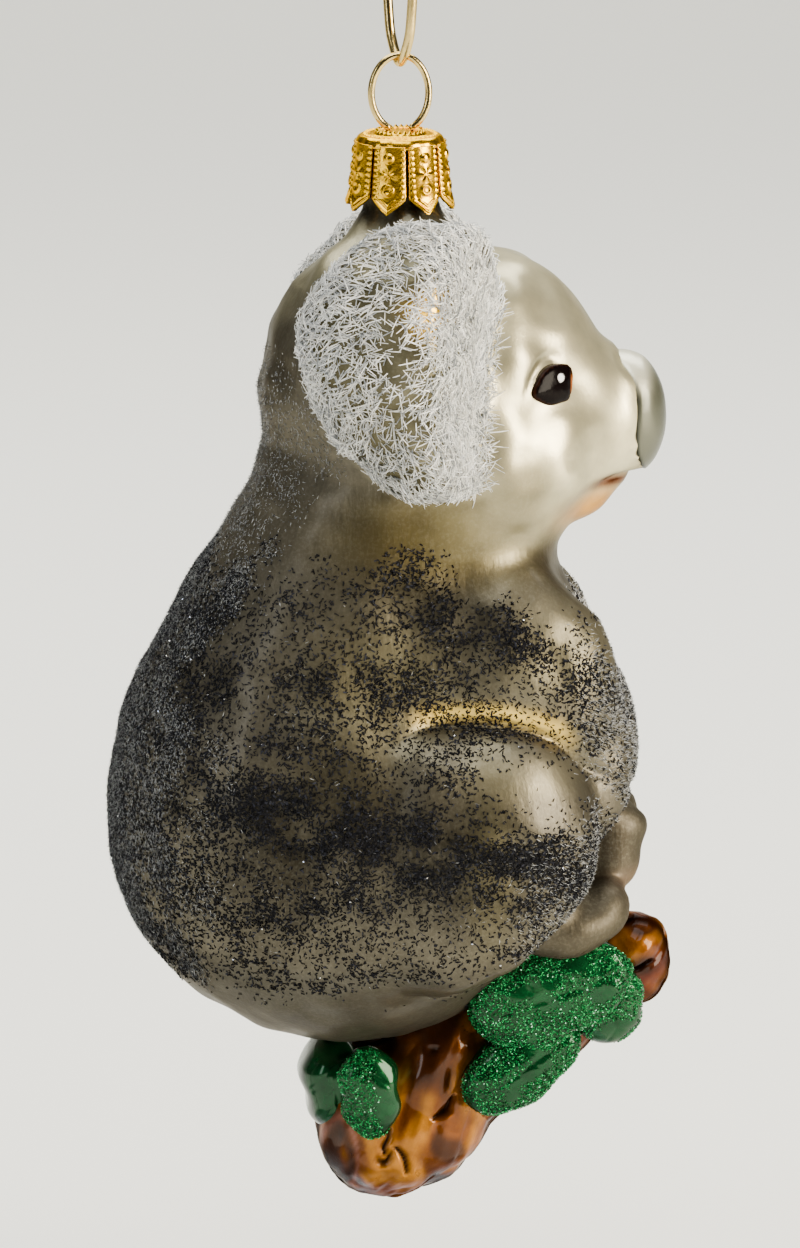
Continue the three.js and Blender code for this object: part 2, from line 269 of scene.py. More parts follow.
def makeCamera():
    # The camera stands `distance` from its aim, on a line turned by azimuth and raised by elevation.
    turn = math.radians(view["azimuth"])
    lift = math.radians(view["elevation"])
    back = Vector((math.sin(turn) * math.cos(lift), -math.cos(turn) * math.cos(lift), math.sin(lift)))
    data = bpy.data.cameras.new("camera")
    data.sensor_fit = "VERTICAL"
    data.sensor_height = 36
    data.lens = data.sensor_height * view["distance"] / view["height"]
    data.clip_start = 0.01
    camera = bpy.data.objects.new("camera", data)
    camera.location = (Vector(view["aim"]) + back * view["distance"]) * mm
    camera.rotation_euler = back.to_track_quat("Z", "Y").to_euler()
    bpy.context.scene.collection.objects.link(camera)
    bpy.context.scene.camera = camera


def makeStage():
    # A sweep of paper: straight along the floor, a quarter round at the back, straight up.
    bend = np.linspace(0, np.pi / 2, 25)
    y = np.concatenate([[stage["front"]], stage["wall"] + stage["bend"] * np.sin(bend)])
    z = np.concatenate([[0], stage["bend"] * (1 - np.cos(bend))])
    y = np.append(y, stage["wall"] + stage["bend"])
    z = np.append(z, stage["rise"])
    x = np.linspace(-stage["width"] / 2, stage["width"] / 2, stage["columns"])
    grid = np.stack(np.broadcast_arrays(x[None, :], y[:, None], z[:, None]), -1)
    paper = Finish("backdrop_paper", {"Base Color": linear("#f4f3ec"), "Roughness": 0.85})
    fibres = paper.noise(900, 4)
    paper.set("Roughness", paper.band(fibres, 0.0, 1.0) * 0.1 + 0.8)
    mesh = bpy.data.meshes.new("backdrop")
    faces = gridFaces(len(y), stage["columns"], False)
    mesh.from_pydata((grid.reshape(-1, 3) * mm).tolist(), [], faces.tolist())
    mesh.polygons.foreach_set("use_smooth", [True] * len(mesh.polygons))
    mesh.materials.append(paper.material)
    backdrop = bpy.data.objects.new("backdrop", mesh)
    bpy.context.scene.collection.objects.link(backdrop)


lamps = {
    "window": {"at": (520, -330, 250), "size": (260, 400), "power": 9.5, "colour": "#fff3dc"},
    "ceiling": {"at": (-40, -160, 620), "size": (460, 340), "power": 3.4, "colour": "#f6f7f4"},
    "fill": {"at": (-560, -380, 260), "size": (120, 420), "power": 1.0, "colour": "#f2f4f8"},
    "sweep": {"at": (0, 420, 900), "size": (1300, 500), "power": 17, "colour": "#fbfaf4",
              "towards": (0, 460, 0)},
    "far": {"at": (0, 2000, 1900), "size": (2600, 1300), "power": 60, "colour": "#fbfaf4",
            "towards": (0, 2000, 0)},
}
room = {"colour": "#a8aaae", "strength": 0.14}


def makeLamps():
    # Broad soft lamps, each facing the camera's aim or a place of its own, in a dim grey room.
    for name, lamp in lamps.items():
        data = bpy.data.lights.new(name, "AREA")
        data.shape = "RECTANGLE"
        data.size = lamp["size"][0] * mm
        data.size_y = lamp["size"][1] * mm
        data.energy = lamp["power"]
        data.color = linear(lamp["colour"])[:3]
        light = bpy.data.objects.new(name, data)
        light.location = Vector(lamp["at"]) * mm
        way = Vector(lamp["at"]) - Vector(lamp.get("towards", view["aim"]))
        light.rotation_euler = way.to_track_quat("Z", "Y").to_euler()
        bpy.context.scene.collection.objects.link(light)
    world = bpy.data.worlds.new("room")
    world.use_nodes = True
    glow = world.node_tree.nodes["Background"]
    glow.inputs["Color"].default_value = linear(room["colour"])
    glow.inputs["Strength"].default_value = room["strength"]
    bpy.context.scene.world = world


makeCamera()
makeStage()
makeLamps()
print("camera, stage and lights are up")


# Soft forms

def ball(centre, radii, yaw=0, pitch=0, roll=0, power=2.0):
    # An ellipsoid turned about z (yaw), y (pitch) and x (roll) in degrees; its centre is above the
    # glass. A power over 2 squares it up.
    cz, cy, cx = [math.cos(math.radians(a)) for a in (yaw, pitch, roll)]
    sz, sy, sx = [math.sin(math.radians(a)) for a in (yaw, pitch, roll)]
    aboutZ = np.array([[cz, -sz, 0], [sz, cz, 0], [0, 0, 1]])
    aboutY = np.array([[cy, 0, sy], [0, 1, 0], [-sy, 0, cy]])
    aboutX = np.array([[1, 0, 0], [0, cx, -sx], [0, sx, cx]])
    turn = aboutZ @ aboutY @ aboutX
    return {"centre": np.array(centre, float), "radii": np.array(radii, float), "turn": turn,
            "power": power}


def ballDistance(points, shape):
    # Close to the distance from the ellipsoid: |q| (|q| - 1) / |q / radii|, with q = place / radii, and
    # |q| the root of the summed squares, or of the ball's own power.
    local = (points - shape["centre"]) @ shape["turn"]
    size = shape["radii"]
    q = local / size
    length = np.sqrt((q * q).sum(-1))
    slope = np.sqrt(((q / size) ** 2).sum(-1))
    if shape["power"] != 2:
        squared = (np.abs(q) ** shape["power"]).sum(-1) ** (1 / shape["power"])
        return squared * (squared - 1) / np.maximum(slope, 1e-9)
    return length * (length - 1) / np.maximum(slope, 1e-9)


def softMin(a, b, blend):  # the lower of two, with the corner between them rounded over `blend`
    h = np.maximum(blend - np.abs(a - b), 0) / blend
    return np.minimum(a, b) - h * h * blend / 4


def formDistance(points, balls, blend):
    distance = ballDistance(points, balls[0])
    for shape in balls[1:]:
        distance = softMin(distance, ballDistance(points, shape), blend)
    return distance


casting = {"walks": 44, "stride": 0.8, "least": 0.2, "fan": 0.45, "settles": 10}


def castSurface(distance, spine, rows, columns, reach, spread=None):
    # A closed surface as a function of two parameters. Rays leave a straight spine: downwards in a
    # fan at its first end, square to it along its length, and upwards in a fan at its last end. Each
    # ray's point walks in from `reach` until the distance form is nought; then the grid settles, each
    # point moving to the middle of its four neighbours and back onto the form.
    start, end = [np.array(point, float) for point in spine]
    axis = unit(end - start)
    side = unit(np.cross(axis, [0, 1, 0.001]))
    other = np.cross(axis, side)
    length = np.linalg.norm(end - start)
    fan = reach * casting["fan"]
    along = np.linspace(0, 1, rows + 2)[1:-1] * (length + 2 * fan)
    tilt = (np.clip((along - fan - length) / fan, 0, 1) - np.clip((fan - along) / fan, 0, 1))
    tilt = tilt * np.pi / 2
    root = start + axis * np.clip(along - fan, 0, length)[:, None]
    around = np.arange(columns) / columns * 2 * np.pi
    if spread:
        around = spread(around)
    level = side * np.cos(around)[:, None] + other * np.sin(around)[:, None]
    way = level[None] * np.cos(tilt)[:, None, None] + axis * np.sin(tilt)[:, None, None]
    way = np.broadcast_to(way, (rows, columns, 3)).copy()
    flip = 1 if np.linalg.det([side, other, axis]) > 0 else -1
    root = np.broadcast_to(root[:, None], way.shape)
    out = np.full((rows, columns), float(reach))
    for _ in range(casting["walks"]):
        out -= casting["stride"] * distance(root + way * out[..., None])
        out = np.clip(out, casting["least"], reach)
    points = root + way * out[..., None]
    for _ in range(casting["settles"]):
        middle = (np.roll(points, 1, 1) + np.roll(points, -1, 1)) / 2
        middle[1:-1] = (middle[1:-1] + (points[2:] + points[:-2]) / 2) / 2
        points[1:-1] = blendTo(points, middle, 0.5)[1:-1]
        points -= gridNormals(points, flip) * distance(points)[..., None]
    return points if flip > 0 else points[:, ::-1]


def gridNormals(points, flip=1):  # square to the grid's two directions
    around = np.roll(points, -1, 1) - np.roll(points, 1, 1)
    upward = np.gradient(points, axis=0)
    return unit(np.cross(around, upward)) * flip


# The koala's glass

coatDepth = {"body": 0.3, "ear": 0.45}

koala = {
    "headBlend": 5,  # how softly the head's balls run into each other
    "trunkBlend": 9,
    "blends": {"throat": 5, "upperArm": 5, "thigh": 0.7, "thighRear": 6, "forearm": 2.2, "hand": 2.8,
               "foot": 2.4, "nose": 2.6, "chin": 1.4, "neck": 3.5, "ear": 1.2},
    "skull": [
        ball([-0.4, 0, 94], [15.2, 17.6, 15.2]),
        ball([8.4, 0, 95.6], [13.9, 15, 13.3], pitch=8),
        ball([15.7, 0, 87.4], [9.6, 9.8, 9.8], pitch=12),
        ball([17.2, 0, 92.6], [8.2, 7.6, 6.2], pitch=22),
        ball([8.2, -8.6, 86.2], [11, 8.6, 9.8]),
        ball([8.2, 8.6, 86.2], [11, 8.6, 9.8]),
    ],
    "trunk": [
        ball([-7.4, 0, 41.7], [25.9, 24, 23.3], pitch=18),
        ball([-9.7, 0, 56], [20.3, 20.4, 16.4]),
        ball([-5, 0, 69.2], [18, 17.4, 12]),
        ball([7.6, 0, 61.8], [15.2, 16.4, 13.4]),
        ball([-0.2, 0, 80], [16.6, 15.4, 12]),
    ],
    "nose": [ball([24.6, 0, 90.1], [5.3, 5.8, 6.9], pitch=-3, power=2.3),
             ball([24, 0, 86.2], [3.9, 4.6, 3])],
    "chin": [ball([21, 0, 81.7], [4.6, 5, 2.5], pitch=-40)],
    "earPlane": {"way": (1, 0.5, 0.02), "through": (7.4, 19, 98), "round": 2.2, "blend": 5},
    "thighCut": {"x": 0.64, "z": -0.77, "past": 16.7, "round": 3},
    "earShift": (-0.4, 0, 1.2),  # the right ear is moved by this, the left one the other way
    "neck": {"radius": 4.1, "flare": 6.8, "straightTo": 114, "drop": 9.1, "top": 119.6, "foot": 100},
    "spine": ((-3, 0, 40), (1.5, 0, 94)),
    "rows": 318,
    "columns": 300,
}


def limbs(s):  # the balls of one side's limbs; s is 1 on the left and -1 on the right
    return {
        "ear": [ball([2.6, s * 17.8, 98.6], [14.8, 9.6, 14.2]),
                ball([3.4, s * 17.6, 90.4], [9, 8, 8.4])],
        "thigh": [ball([6.2, s * 15.4, 42.8], [14.6, 11.6, 16.4], power=2.5)],
        "upperArm": [ball([12.8, s * 12.6, 61.8], [10.8, 7.6, 12.6], pitch=-24)],
        "forearm": [ball([20.4, s * 9, 54.2], [5.8, 5.8, 11.4], pitch=1, roll=s * 26)],
        "hand": [ball([23.2, s * 5, 42], [4, 4.3, 5.8], pitch=4),
                 ball([23.6, s * 5, 39.2], [2.9, 3.8, 3]),
                 ball([25.6, s * 4.4, 43.8], [2.2, 3.2, 2])],
        "foot": [ball([18.2, s * 11.8, 33.6], [6.8, 5, 3.7], pitch=-12, yaw=s * -12),
                 ball([22.4, s * 10.2, 36], [2.8, 3.2, 2.4])],
    }


rightSide = limbs(-1)


def neckDistance(points):
    # The glass neck: a tube that flares downwards, its radius growing as the fall below the straight
    # part to the power 1.35.
    neck = koala["neck"]
    fall = np.clip((neck["straightTo"] - points[..., 2]) / neck["drop"], 0, 1)
    radius = neck["radius"] + neck["flare"] * fall ** 1.35
    across = (np.hypot(points[..., 0], points[..., 1]) - radius) * 0.75
    ends = np.maximum(points[..., 2] - neck["top"], neck["foot"] - points[..., 2])
    return np.maximum(across, ends)


def earDistance(points):
    # A deep dome cut off flat in front, its edge rounded. Both sides are worked out as the right one.
    side = np.where(points[..., 1:2] < 0, 1, -1)
    near = points - side * np.array(koala["earShift"])
    near[..., 1] = -np.abs(near[..., 1])
    plane = koala["earPlane"]
    facing = unit(np.array(plane["way"])) * [1, -1, 1]
    flat = (near - np.array(plane["through"]) * [1, -1, 1]) @ facing
    dome = formDistance(near, rightSide["ear"], plane["blend"])
    return -softMin(-dome, -flat, plane["round"]) + coatDepth["ear"]


def limbDistanceOf(near, *names):  # the distance from the nearest of the right side's named limbs
    return np.minimum.reduce([formDistance(near, rightSide[name], 2) for name in names])


def mirrored(points):  # every point as if on the right side
    return np.where(points[..., 1:2] < 0, points, points * [1, -1, 1])


def thighDistance(near):
    # The thigh's ball, softly cut off by a plane where the shank runs down to the foot.
    cut = koala["thighCut"]
    form = limbDistanceOf(near, "thigh")
    under = near[..., 0] * cut["x"] + near[..., 2] * cut["z"] + cut["past"]
    return -softMin(-form, -under, cut["round"])


def koalaDistance(points):
    # The whole figure: every form joined softly, tightly where the glass shows a crease.
    near = mirrored(points)
    head = formDistance(points, koala["skull"], koala["headBlend"])
    body = formDistance(points, koala["trunk"], koala["trunkBlend"]) + coatDepth["body"]
    blends = koala["blends"]
    whole = softMin(head, body, blends["throat"])
    for name in ("upperArm", "thigh", "forearm", "hand", "foot"):
        form = limbDistanceOf(near, name)
        blend = blends[name]
        if name == "thigh":
            form = thighDistance(near)
            blend = blend + blends["thighRear"] * smoothStep(3, -8, near[..., 0])
        whole = softMin(whole, form + coatDepth["body"], blend)
    whole = softMin(whole, formDistance(points, koala["nose"], 2), blends["nose"])
    whole = softMin(whole, formDistance(points, koala["chin"], 1), blends["chin"])
    whole = softMin(whole, neckDistance(points), blends["neck"])
    return softMin(whole, earDistance(points), blends["ear"])


def faceSpread(around):  # columns crowd a little towards the front, where the face is
    return around - 0.45 * np.sin(around)


print("casting the koala's skin")
skin = castSurface(koalaDistance, koala["spine"], koala["rows"], koala["columns"], 46, faceSpread)

# The eye lies in a plane of its own: `out` looks out of the head, `fore` runs towards the nose.
eye = {
    "x": 16.3,
    "z": 94.9,
    "yaw": -53,  # from straight ahead towards the right side
    "lift": 4,
    "halfLength": 2.9,
    "halfHeight": 2.2,
    "dome": 0.7,
    "rings": 26,
    "columns": 72,
    "socket": 0.6,
    "socketWidth": 4.4,
    "foldDepth": 0.38,
    "foldWidth": 0.6,
    "foldHeight": 3.1,
}
mouth = {"z": 82.9, "rise": 0.05, "droop": 0.04, "depth": 0.9, "width": 0.42}
crease = {"depth": 0.4, "width": 0.45}
waves = {"long": 9, "longHeight": 0.17, "short": 4.5, "shortHeight": 0.045}


def eyeFrame():
    turn = math.radians(eye["yaw"])
    lift = math.radians(eye["lift"])
    out = np.array([math.cos(turn) * math.cos(lift), math.sin(turn) * math.cos(lift), math.sin(lift)])
    fore = unit(np.cross([0, 0, 1], out))
    rise = np.cross(out, fore)
    column = skin.reshape(-1, 3)
    column = column[column[:, 1] < 0]
    place = np.array([eye["x"], eye["z"]])
    nearest = np.argmin(np.linalg.norm(column[:, [0, 2]] - place, axis=1))
    return column[nearest], fore, rise, out


eyeCentre, eyeFore, eyeRise, eyeOut = eyeFrame()


def eyeLocal(near):  # a point of the right side as (fore, rise, out) about the eye
    offset = near - eyeCentre
    return np.stack([offset @ eyeFore, offset @ eyeRise, offset @ eyeOut], -1)


def eyeEdge(angle):
    # Radius of the almond at an angle in the eye's plane: a leaning ellipse drawn out to a soft point
    # at its rear corner and, less, at two corners in front.
    plain = 1 / np.sqrt((np.cos(angle - 0.3) / eye["halfLength"]) ** 2
                        + (np.sin(angle - 0.3) / eye["halfHeight"]) ** 2)

    def corner(at, width):
        away = np.mod(angle - at + np.pi, 2 * np.pi) - np.pi
        return bell(away, width)

    return plain * (1 + 0.2 * corner(3.38, 0.3) + 0.08 * corner(0.72, 0.25) + 0.14 * corner(-0.8, 0.3)
                    - 0.08 * corner(0, 0.3))


nosePad = {"start": 26.0, "edge": 0.35, "rows": 100, "columns": 120,
           "spine": ((27.2, 0, 86.4), (27, 0, 92)),
           # the top tone is a painted highlight; the rim and edge tones are painted shade
           "tones": {"pad": "#57584b", "top": "#cfccb6", "rim": "#2f3028", "edge": "#3e3f35"}}


def noseStart(z):  # the pad's edge: upright in the middle, forward at the foot, back at the top
    low = 0.12 * np.maximum(87.2 - z, 0) ** 2
    return nosePad["start"] + low - 0.13 * np.clip(z - 92.2, 0, 4) ** 2


def faceRelief(near):
    # Height over the plain head: the socket round the eye, the brow's fold over its rear half, the
    # mouth's cleft, and the step that takes the skin under the nose pad.
    fore, rise, out = np.moveaxis(eyeLocal(near), -1, 0)
    close = smoothStep(9, 4, np.abs(out))
    socket = -eye["socket"] * np.exp(-((np.hypot(fore * 0.8 + 0.3, rise) / eye["socketWidth"]) ** 3))
    foldLine = rise - eye["foldHeight"] + 0.19 * (fore - 0.2) ** 2
    fold = -eye["foldDepth"] * bell(foldLine, eye["foldWidth"]) * smoothStep(3.6, 1.8, np.abs(fore + 1.2))
    x, y, z = np.moveaxis(near, -1, 0)
    fromMouth = z - (mouth["z"] + mouth["rise"] * (x - 22) - mouth["droop"] * y)
    cleft = -mouth["depth"] * bell(fromMouth, mouth["width"])
    cleft = cleft * smoothStep(18.6, 20.6, x) * smoothStep(-7, -3, y)
    underNose = -0.5 * smoothStep(0.1, 0.6, x - noseStart(z))
    return (socket + fold) * close + cleft + underNose


def creaseAway(near):  # how much further a place is from the thigh than from the belly and the arm
    body = softMin(formDistance(near, koala["trunk"], koala["trunkBlend"]),
                   limbDistanceOf(near, "upperArm"), koala["blends"]["upperArm"])
    return thighDistance(near) - body


def creaseRelief(near):
    # A narrow groove along the line where the thigh leaves the belly, deepest above and in front.
    return -crease["depth"] * bell(creaseAway(near), crease["width"]) * smoothStep(-3, 2, near[..., 0])


def strandRelief(near):
    # Shallow grooves that the mould gives the fur: down the arm and slanting over the wrist.
    x, y, z = np.moveaxis(near, -1, 0)
    arm = np.exp(-(((x - 17) / 9) ** 2 + ((z - 56) / 13) ** 2) ** 2) * smoothStep(4, 9, -y)
    arm *= smoothStep(0.3, 1.2, limbDistanceOf(near, "thigh"))
    along = np.stack([x + z * 0.18, y, z * 0.12], -1)
    return 0.16 * arm * ripple(along, 2.0, 21)


def glassWaves(points):
    # The blown glass is never quite even: long and short waves, higher on the face, gone at the nose.
    height = ripple(points, waves["long"], 3) * waves["longHeight"]
    height += ripple(points, waves["short"], 4) * waves["shortHeight"]
    height *= 1 + 0.7 * smoothStep(78, 84, points[..., 2]) * smoothStep(22, 17, points[..., 0])
    return height * smoothStep(25.4, 22, points[..., 0])


nearSkin = mirrored(skin)
relief = faceRelief(nearSkin) + creaseRelief(nearSkin) + strandRelief(nearSkin) + glassWaves(skin)
skin = skin + gridNormals(skin) * relief[..., None]
skinNormals = gridNormals(skin)
nearSkin = mirrored(skin)

glitterClusters = [  # x, z, their half sizes, the fall of z along x, and how thick they lie
    (7, 69, 13, 3.6, -0.5, 1.0),
    (-4, 61.5, 8, 3.6, -0.2, 0.8),
    (-14, 47.5, 11, 5.5, -0.3, 1.0),
    (2, 45, 10, 4.6, -0.2, 1.0),
    (14, 43, 6.5, 6.5, -0.5, 1.1),
    (-12, 38, 11, 4, 0.1, 0.6),
    (-22, 64, 4, 8, 1.0, 0.5),
]


def clusterShare(near):  # 0 to 1 and more: how far a place lies in the dark, glittering patches, whose darkness is partly a painted reflection
    x, _, z = np.moveaxis(near, -1, 0)
    share = 0
    for middleX, middleZ, halfX, halfZ, slope, strength in glitterClusters:
        fall = z - middleZ - slope * (x - middleX)
        share = share + strength * np.exp(-(((x - middleX) / halfX) ** 2 + (fall / halfZ) ** 2) ** 1.5)
    return share * smoothStep(-1.1, 0.8, ripple(near, 6, 74))


# Where the lacquer changes, with painted shade, highlights and reflections among the spots. `at` and `size`
# are places and half sizes on the right side, in x, y, z.
skinPaint = {
    "pearl": "#d8cfaa",
    "crown": "#868169",
    "taupe": "#5c574a",
    "neckRing": "#3a3529",
    # partly a darker lacquer under the glitter, partly a painted reflection of dark surroundings; it also
    # paints the shade in the thigh's crease
    "smokeAndShade": "#26241e",
    # a painted highlight, gold, just above the thigh's crease
    "creaseHighlight": "#f2cf6a",
    "ear": "#57523c",
    "spots": [
        # painted shade in a dimple of the cheek below the eye
        {"at": (12.8, -17, 84.4), "size": (3.6, 9, 3.4), "colour": "#615a43", "share": 0.8},
        # painted shadow under the ear, down the side of the neck
        {"at": (4, -19, 78.6), "size": (14, 12, 6), "colour": "#62562f", "share": 0.85},
        {"at": (10, -16, 82), "size": (4, 10, 8), "colour": "#8f876c", "share": 0.5},
        # painted shade in the eye's socket, behind and above it
        {"at": (12, -17, 96.4), "size": (2.6, 7, 4.6), "colour": "#77725b", "share": 0.65},
        # painted shade in the brow's fold over the eye
        {"at": (17.6, -14, 98.2), "size": (3.4, 5, 1.3), "colour": "#8b8672", "share": 0.7},
        {"at": (21, -2, 80.2), "size": (6.5, 9, 2.5), "colour": "#d9983c", "share": 0.95},
        {"at": (23, -3, 82.9), "size": (4.6, 7, 0.85), "colour": "#5f2d0c", "share": 1.0},
        # painted reflection of dark surroundings, low on the back
        {"at": (-15, -22, 42.6), "size": (9, 12, 8), "colour": "#2c281e", "share": 0.85},
        # painted reflection of dark surroundings, low on the flank
        {"at": (4, -26, 42.8), "size": (9, 12, 6.6), "colour": "#25221a", "share": 0.9},
        # painted highlight on the top of the thigh
        {"at": (12, -24, 53.4), "size": (9, 12, 2.4), "colour": "#968e74", "share": 0.5},
        {"at": (-4, -22, 63), "size": (9, 12, 8), "colour": "#857c5a", "share": 0.5},
        {"at": (-8, -22, 52), "size": (7, 12, 5), "colour": "#453f2d", "share": 0.7},
        {"at": (8, -20, 46), "size": (3, 14, 12), "colour": "#8d8259", "share": 0.35},
        {"at": (16, -18, 66), "size": (8, 14, 5), "colour": "#8e866a", "share": 0.6},
        {"at": (24.4, -5, 37.4), "size": (3.4, 6, 2.2), "colour": "#a58a74", "share": 0.7},
        {"at": (22, -8, 43), "size": (5, 9, 6), "colour": "#39332a", "share": 0.85},
        {"at": (17.5, -13, 33), "size": (9, 9, 5.5), "colour": "#4c463a", "share": 0.9},
        # painted gold reflection on the ear's glass
        {"at": (1, -25, 104.7), "size": (2.6, 8, 2.4), "colour": "#f6c63e", "share": 1.0},
    ],
}


# Where a tone begins and where it is full: heights, places along x, or how the glass faces.
lacquerEdges = {
    "faceLow": (74.5, 81),
    "faceRear": (-9, 4),
    "cheek": (91, 81),
    "crown": (99, 108),
    "crownFront": (16, 4),
    "neckRing": (110.5, 113.5),
    # painted shade on the face where it turns downwards
    "shade": (-0.35, -0.95),
    "ear": (1.2, -0.2),
    "smokeAndShadeTop": (77, 72),
    # where the crease's painted highlight and painted shade run
    "creaseMarksRear": (-1.5, 3),
    "creaseMarksFront": (19, 15),
    "creaseMarksLow": (50, 54),
    # where the crease's painted shade line breaks
    "creaseShadeBreaks": (-0.5, 0.3),
    "bareEnds": (1.2, 0.2),
}


def paintSkin(near):
    # The lacquer's colour at each point: pearl on the face, running into taupe below and behind, with
    # painted shade where the face turns down; then soft spots laid over it one by one, some of them painted
    # shade, highlights and reflections; then dark patches, partly painted reflection, and the crease's
    # painted highlight and painted shade.
    tone = tonesOf(skinPaint)
    edges = lacquerEdges
    x, _, z = np.moveaxis(near, -1, 0)
    waver = ripple(near, 11, 8)
    under = 9 * fade(edges, "cheek", z)
    face = fade(edges, "faceLow", z - 0.1 * (x - 10) + waver)
    face = face * fade(edges, "faceRear", x + 2 * waver - under)
    colour = lay(tone["taupe"], tone["pearl"], face)
    colour = lay(colour, tone["crown"], fade(edges, "crown", z + waver) * fade(edges, "crownFront", x))
    colour = lay(colour, tone["neckRing"], fade(edges, "neckRing", z))
    # painted shade: the face darkens towards taupe where it faces downwards
    colour = lay(colour, tone["taupe"], fade(edges, "shade", skinNormals[..., 2]) * 0.5 * face)
    colour = lay(colour, tone["ear"], fade(edges, "ear", earDistance(skin)))
    for spot in skinPaint["spots"]:
        offset = (near - np.array(spot["at"])) / np.array(spot["size"])
        share = np.exp(-((offset ** 2).sum(-1)) ** 1.5) * spot["share"]
        colour = lay(colour, tonesOf(spot)["colour"], share)
    # the dark patches below the face: partly darker lacquer under the glitter, partly a painted reflection
    # of dark surroundings
    smokeAndShade = clusterShare(near) * (1 - face) * fade(edges, "smokeAndShadeTop", z)
    colour = lay(colour, tone["smokeAndShade"], np.clip(smokeAndShade, 0, 1) * 0.75)
    away = creaseAway(near)
    above = fade(edges, "creaseMarksRear", x) * fade(edges, "creaseMarksFront", x) * fade(edges, "creaseMarksLow", z)
    # painted highlight: a gold line just above the thigh's crease
    colour = lay(colour, tone["creaseHighlight"], bell(away - 1.2, 0.8) * above)
    # painted shade: a dark broken line along the bottom of the thigh's crease
    creaseShade = bell(away, 0.3) * above * fade(edges, "creaseShadeBreaks", ripple(near, 2.5, 77))
    colour = lay(colour, tone["smokeAndShade"], creaseShade)
    return colour, face, fade(edges, "bareEnds", limbDistanceOf(near, "hand", "foot"))


def skinFinish():
    # Satin lacquer over silvered glass: mostly metal, mottled by fine pigment, with a little clear
    # lacquer on top and faint brush strokes that run down the coat.
    lacquer = Finish("koala_lacquer", {
        "Coat Roughness": 0.18, "Specular Tint": linear("#8f8b7e"), "Coat IOR": 1.45})
    paint = lacquer.attribute("paint")
    cloud = lacquer.noise(210, 3, 0.55)
    grain = lacquer.noise(2600, 2, 0.6)
    strokes = lacquer.noise(900, 3, 0.6, stretch=(1, 1, 0.14))
    smoked = lacquer.mix(lacquer.band(cloud, 0.35, 0.75) * 0.35, paint, linear("#57503f"), "MULTIPLY")
    lit = lacquer.mix(lacquer.band(grain, 0.45, 0.8) * 0.07, smoked, linear("#c9c3ae"))
    lacquer.set("Base Color", lit)
    gloss = lacquer.attribute("gloss", "Fac")
    lacquer.set("Metallic", 0.82)
    lacquer.set("Roughness", 0.5 - gloss * 0.2 + (cloud - 0.5) * 0.12)
    lacquer.set("Coat Weight", gloss * 0.35)
    fur = lacquer.attribute("fur", "Fac")
    lacquer.bump(strokes * fur * 0.6 + grain * 0.12, 0.35, 0.0004)
    return lacquer.material


skinColours, facePart, handPart = paintSkin(nearSkin)
koalaPoints, koalaFaces = closeGrid(skin + [0, 0, glassFoot])
everyFlesh = ["head", "trunk", "chin", "neck"]
for side in both:
    everyFlesh += [f"{part}_{side}" for part in
                   ("ear", "thigh", "upper_arm", "forearm", "hand", "foot")]
koalaSkin = makePiece("koala_skin", koalaPoints, koalaFaces, skinFinish(), "ornament",
                      everyFlesh)


def onPoles(values):  # a grid's values with the two poles' values added
    flat = values.reshape(-1, *values.shape[2:])
    return np.concatenate([flat, values[:1].mean(1), values[-1:].mean(1)])


addPaint(koalaSkin, "paint", onPoles(skinColours))
addValue(koalaSkin, "gloss", onPoles(0.35 + 0.5 * facePart - 0.3 * handPart))
addValue(koalaSkin, "fur", onPoles(1 - facePart))
print("koala skin:", len(koalaFaces), "triangles")


def nosePiece():
    # The pad is the part of the nose's form that stands in front of the muzzle, its edge rounded.
    def padDistance(points):
        form = formDistance(points, koala["nose"], 2)
        edge = points[..., 0] - noseStart(points[..., 2])
        return -softMin(-form, edge, nosePad["edge"]) - 0.08

    grid = castSurface(padDistance, nosePad["spine"], nosePad["rows"], nosePad["columns"], 12)
    waver = 0.05 * ripple(grid, 6, 5) * smoothStep(26.4, 27.4, grid[..., 0])
    grid = grid + gridNormals(grid) * waver[..., None]
    points, faces = closeGrid(grid + [0, 0, glassFoot])
    pad = Finish("nose_lacquer", {"Metallic": 0.55, "Coat Weight": 0.4, "Coat Roughness": 0.2,
                                  "Specular Tint": linear("#9aa09a")})
    pad.set("Base Color", pad.attribute("paint"))
    cloud = pad.noise(300, 3)
    pad.set("Roughness", pad.band(cloud, 0.2, 0.8) * 0.1 + 0.32)
    pad.bump(pad.noise(1500, 2), 0.12, 0.0002)
    piece = makePiece("nose_pad", points, faces, pad.material, "ornament", ["nose"])
    tone = tonesOf(nosePad["tones"])
    x, y, z = np.moveaxis(grid, -1, 0)
    # painted shade darkens the pad along its edge, where it steps out of the muzzle
    rim = smoothStep(0.5, 0.1, x - noseStart(z))
    colour = lay(tone["pad"], tone["rim"], rim)
    # painted highlight over the pad's top
    high = smoothStep(92.2, 95.6, z + 0.25 * (np.abs(y) - 4)) * smoothStep(29, 26.8, x)
    colour = lay(colour, tone["top"], high)
    # painted shade on the front of the pad where it turns towards the left side
    outer = smoothStep(0.2, -0.5, gridNormals(grid) @ np.array([0.3, -1, 0])) * smoothStep(27, 29, x)
    colour = lay(colour, tone["edge"], outer)
    addPaint(piece, "paint", onPoles(colour))


nosePiece()


# Eyes

eyePaint = {"rim": "#1f0f07", "ball": "#080404", "strip": "#8f4c1a", "stripGap": "#150a06",
            "spark": "#ffffff", "sparkAt": (0.35, 0.75), "sparkRadius": 0.46}


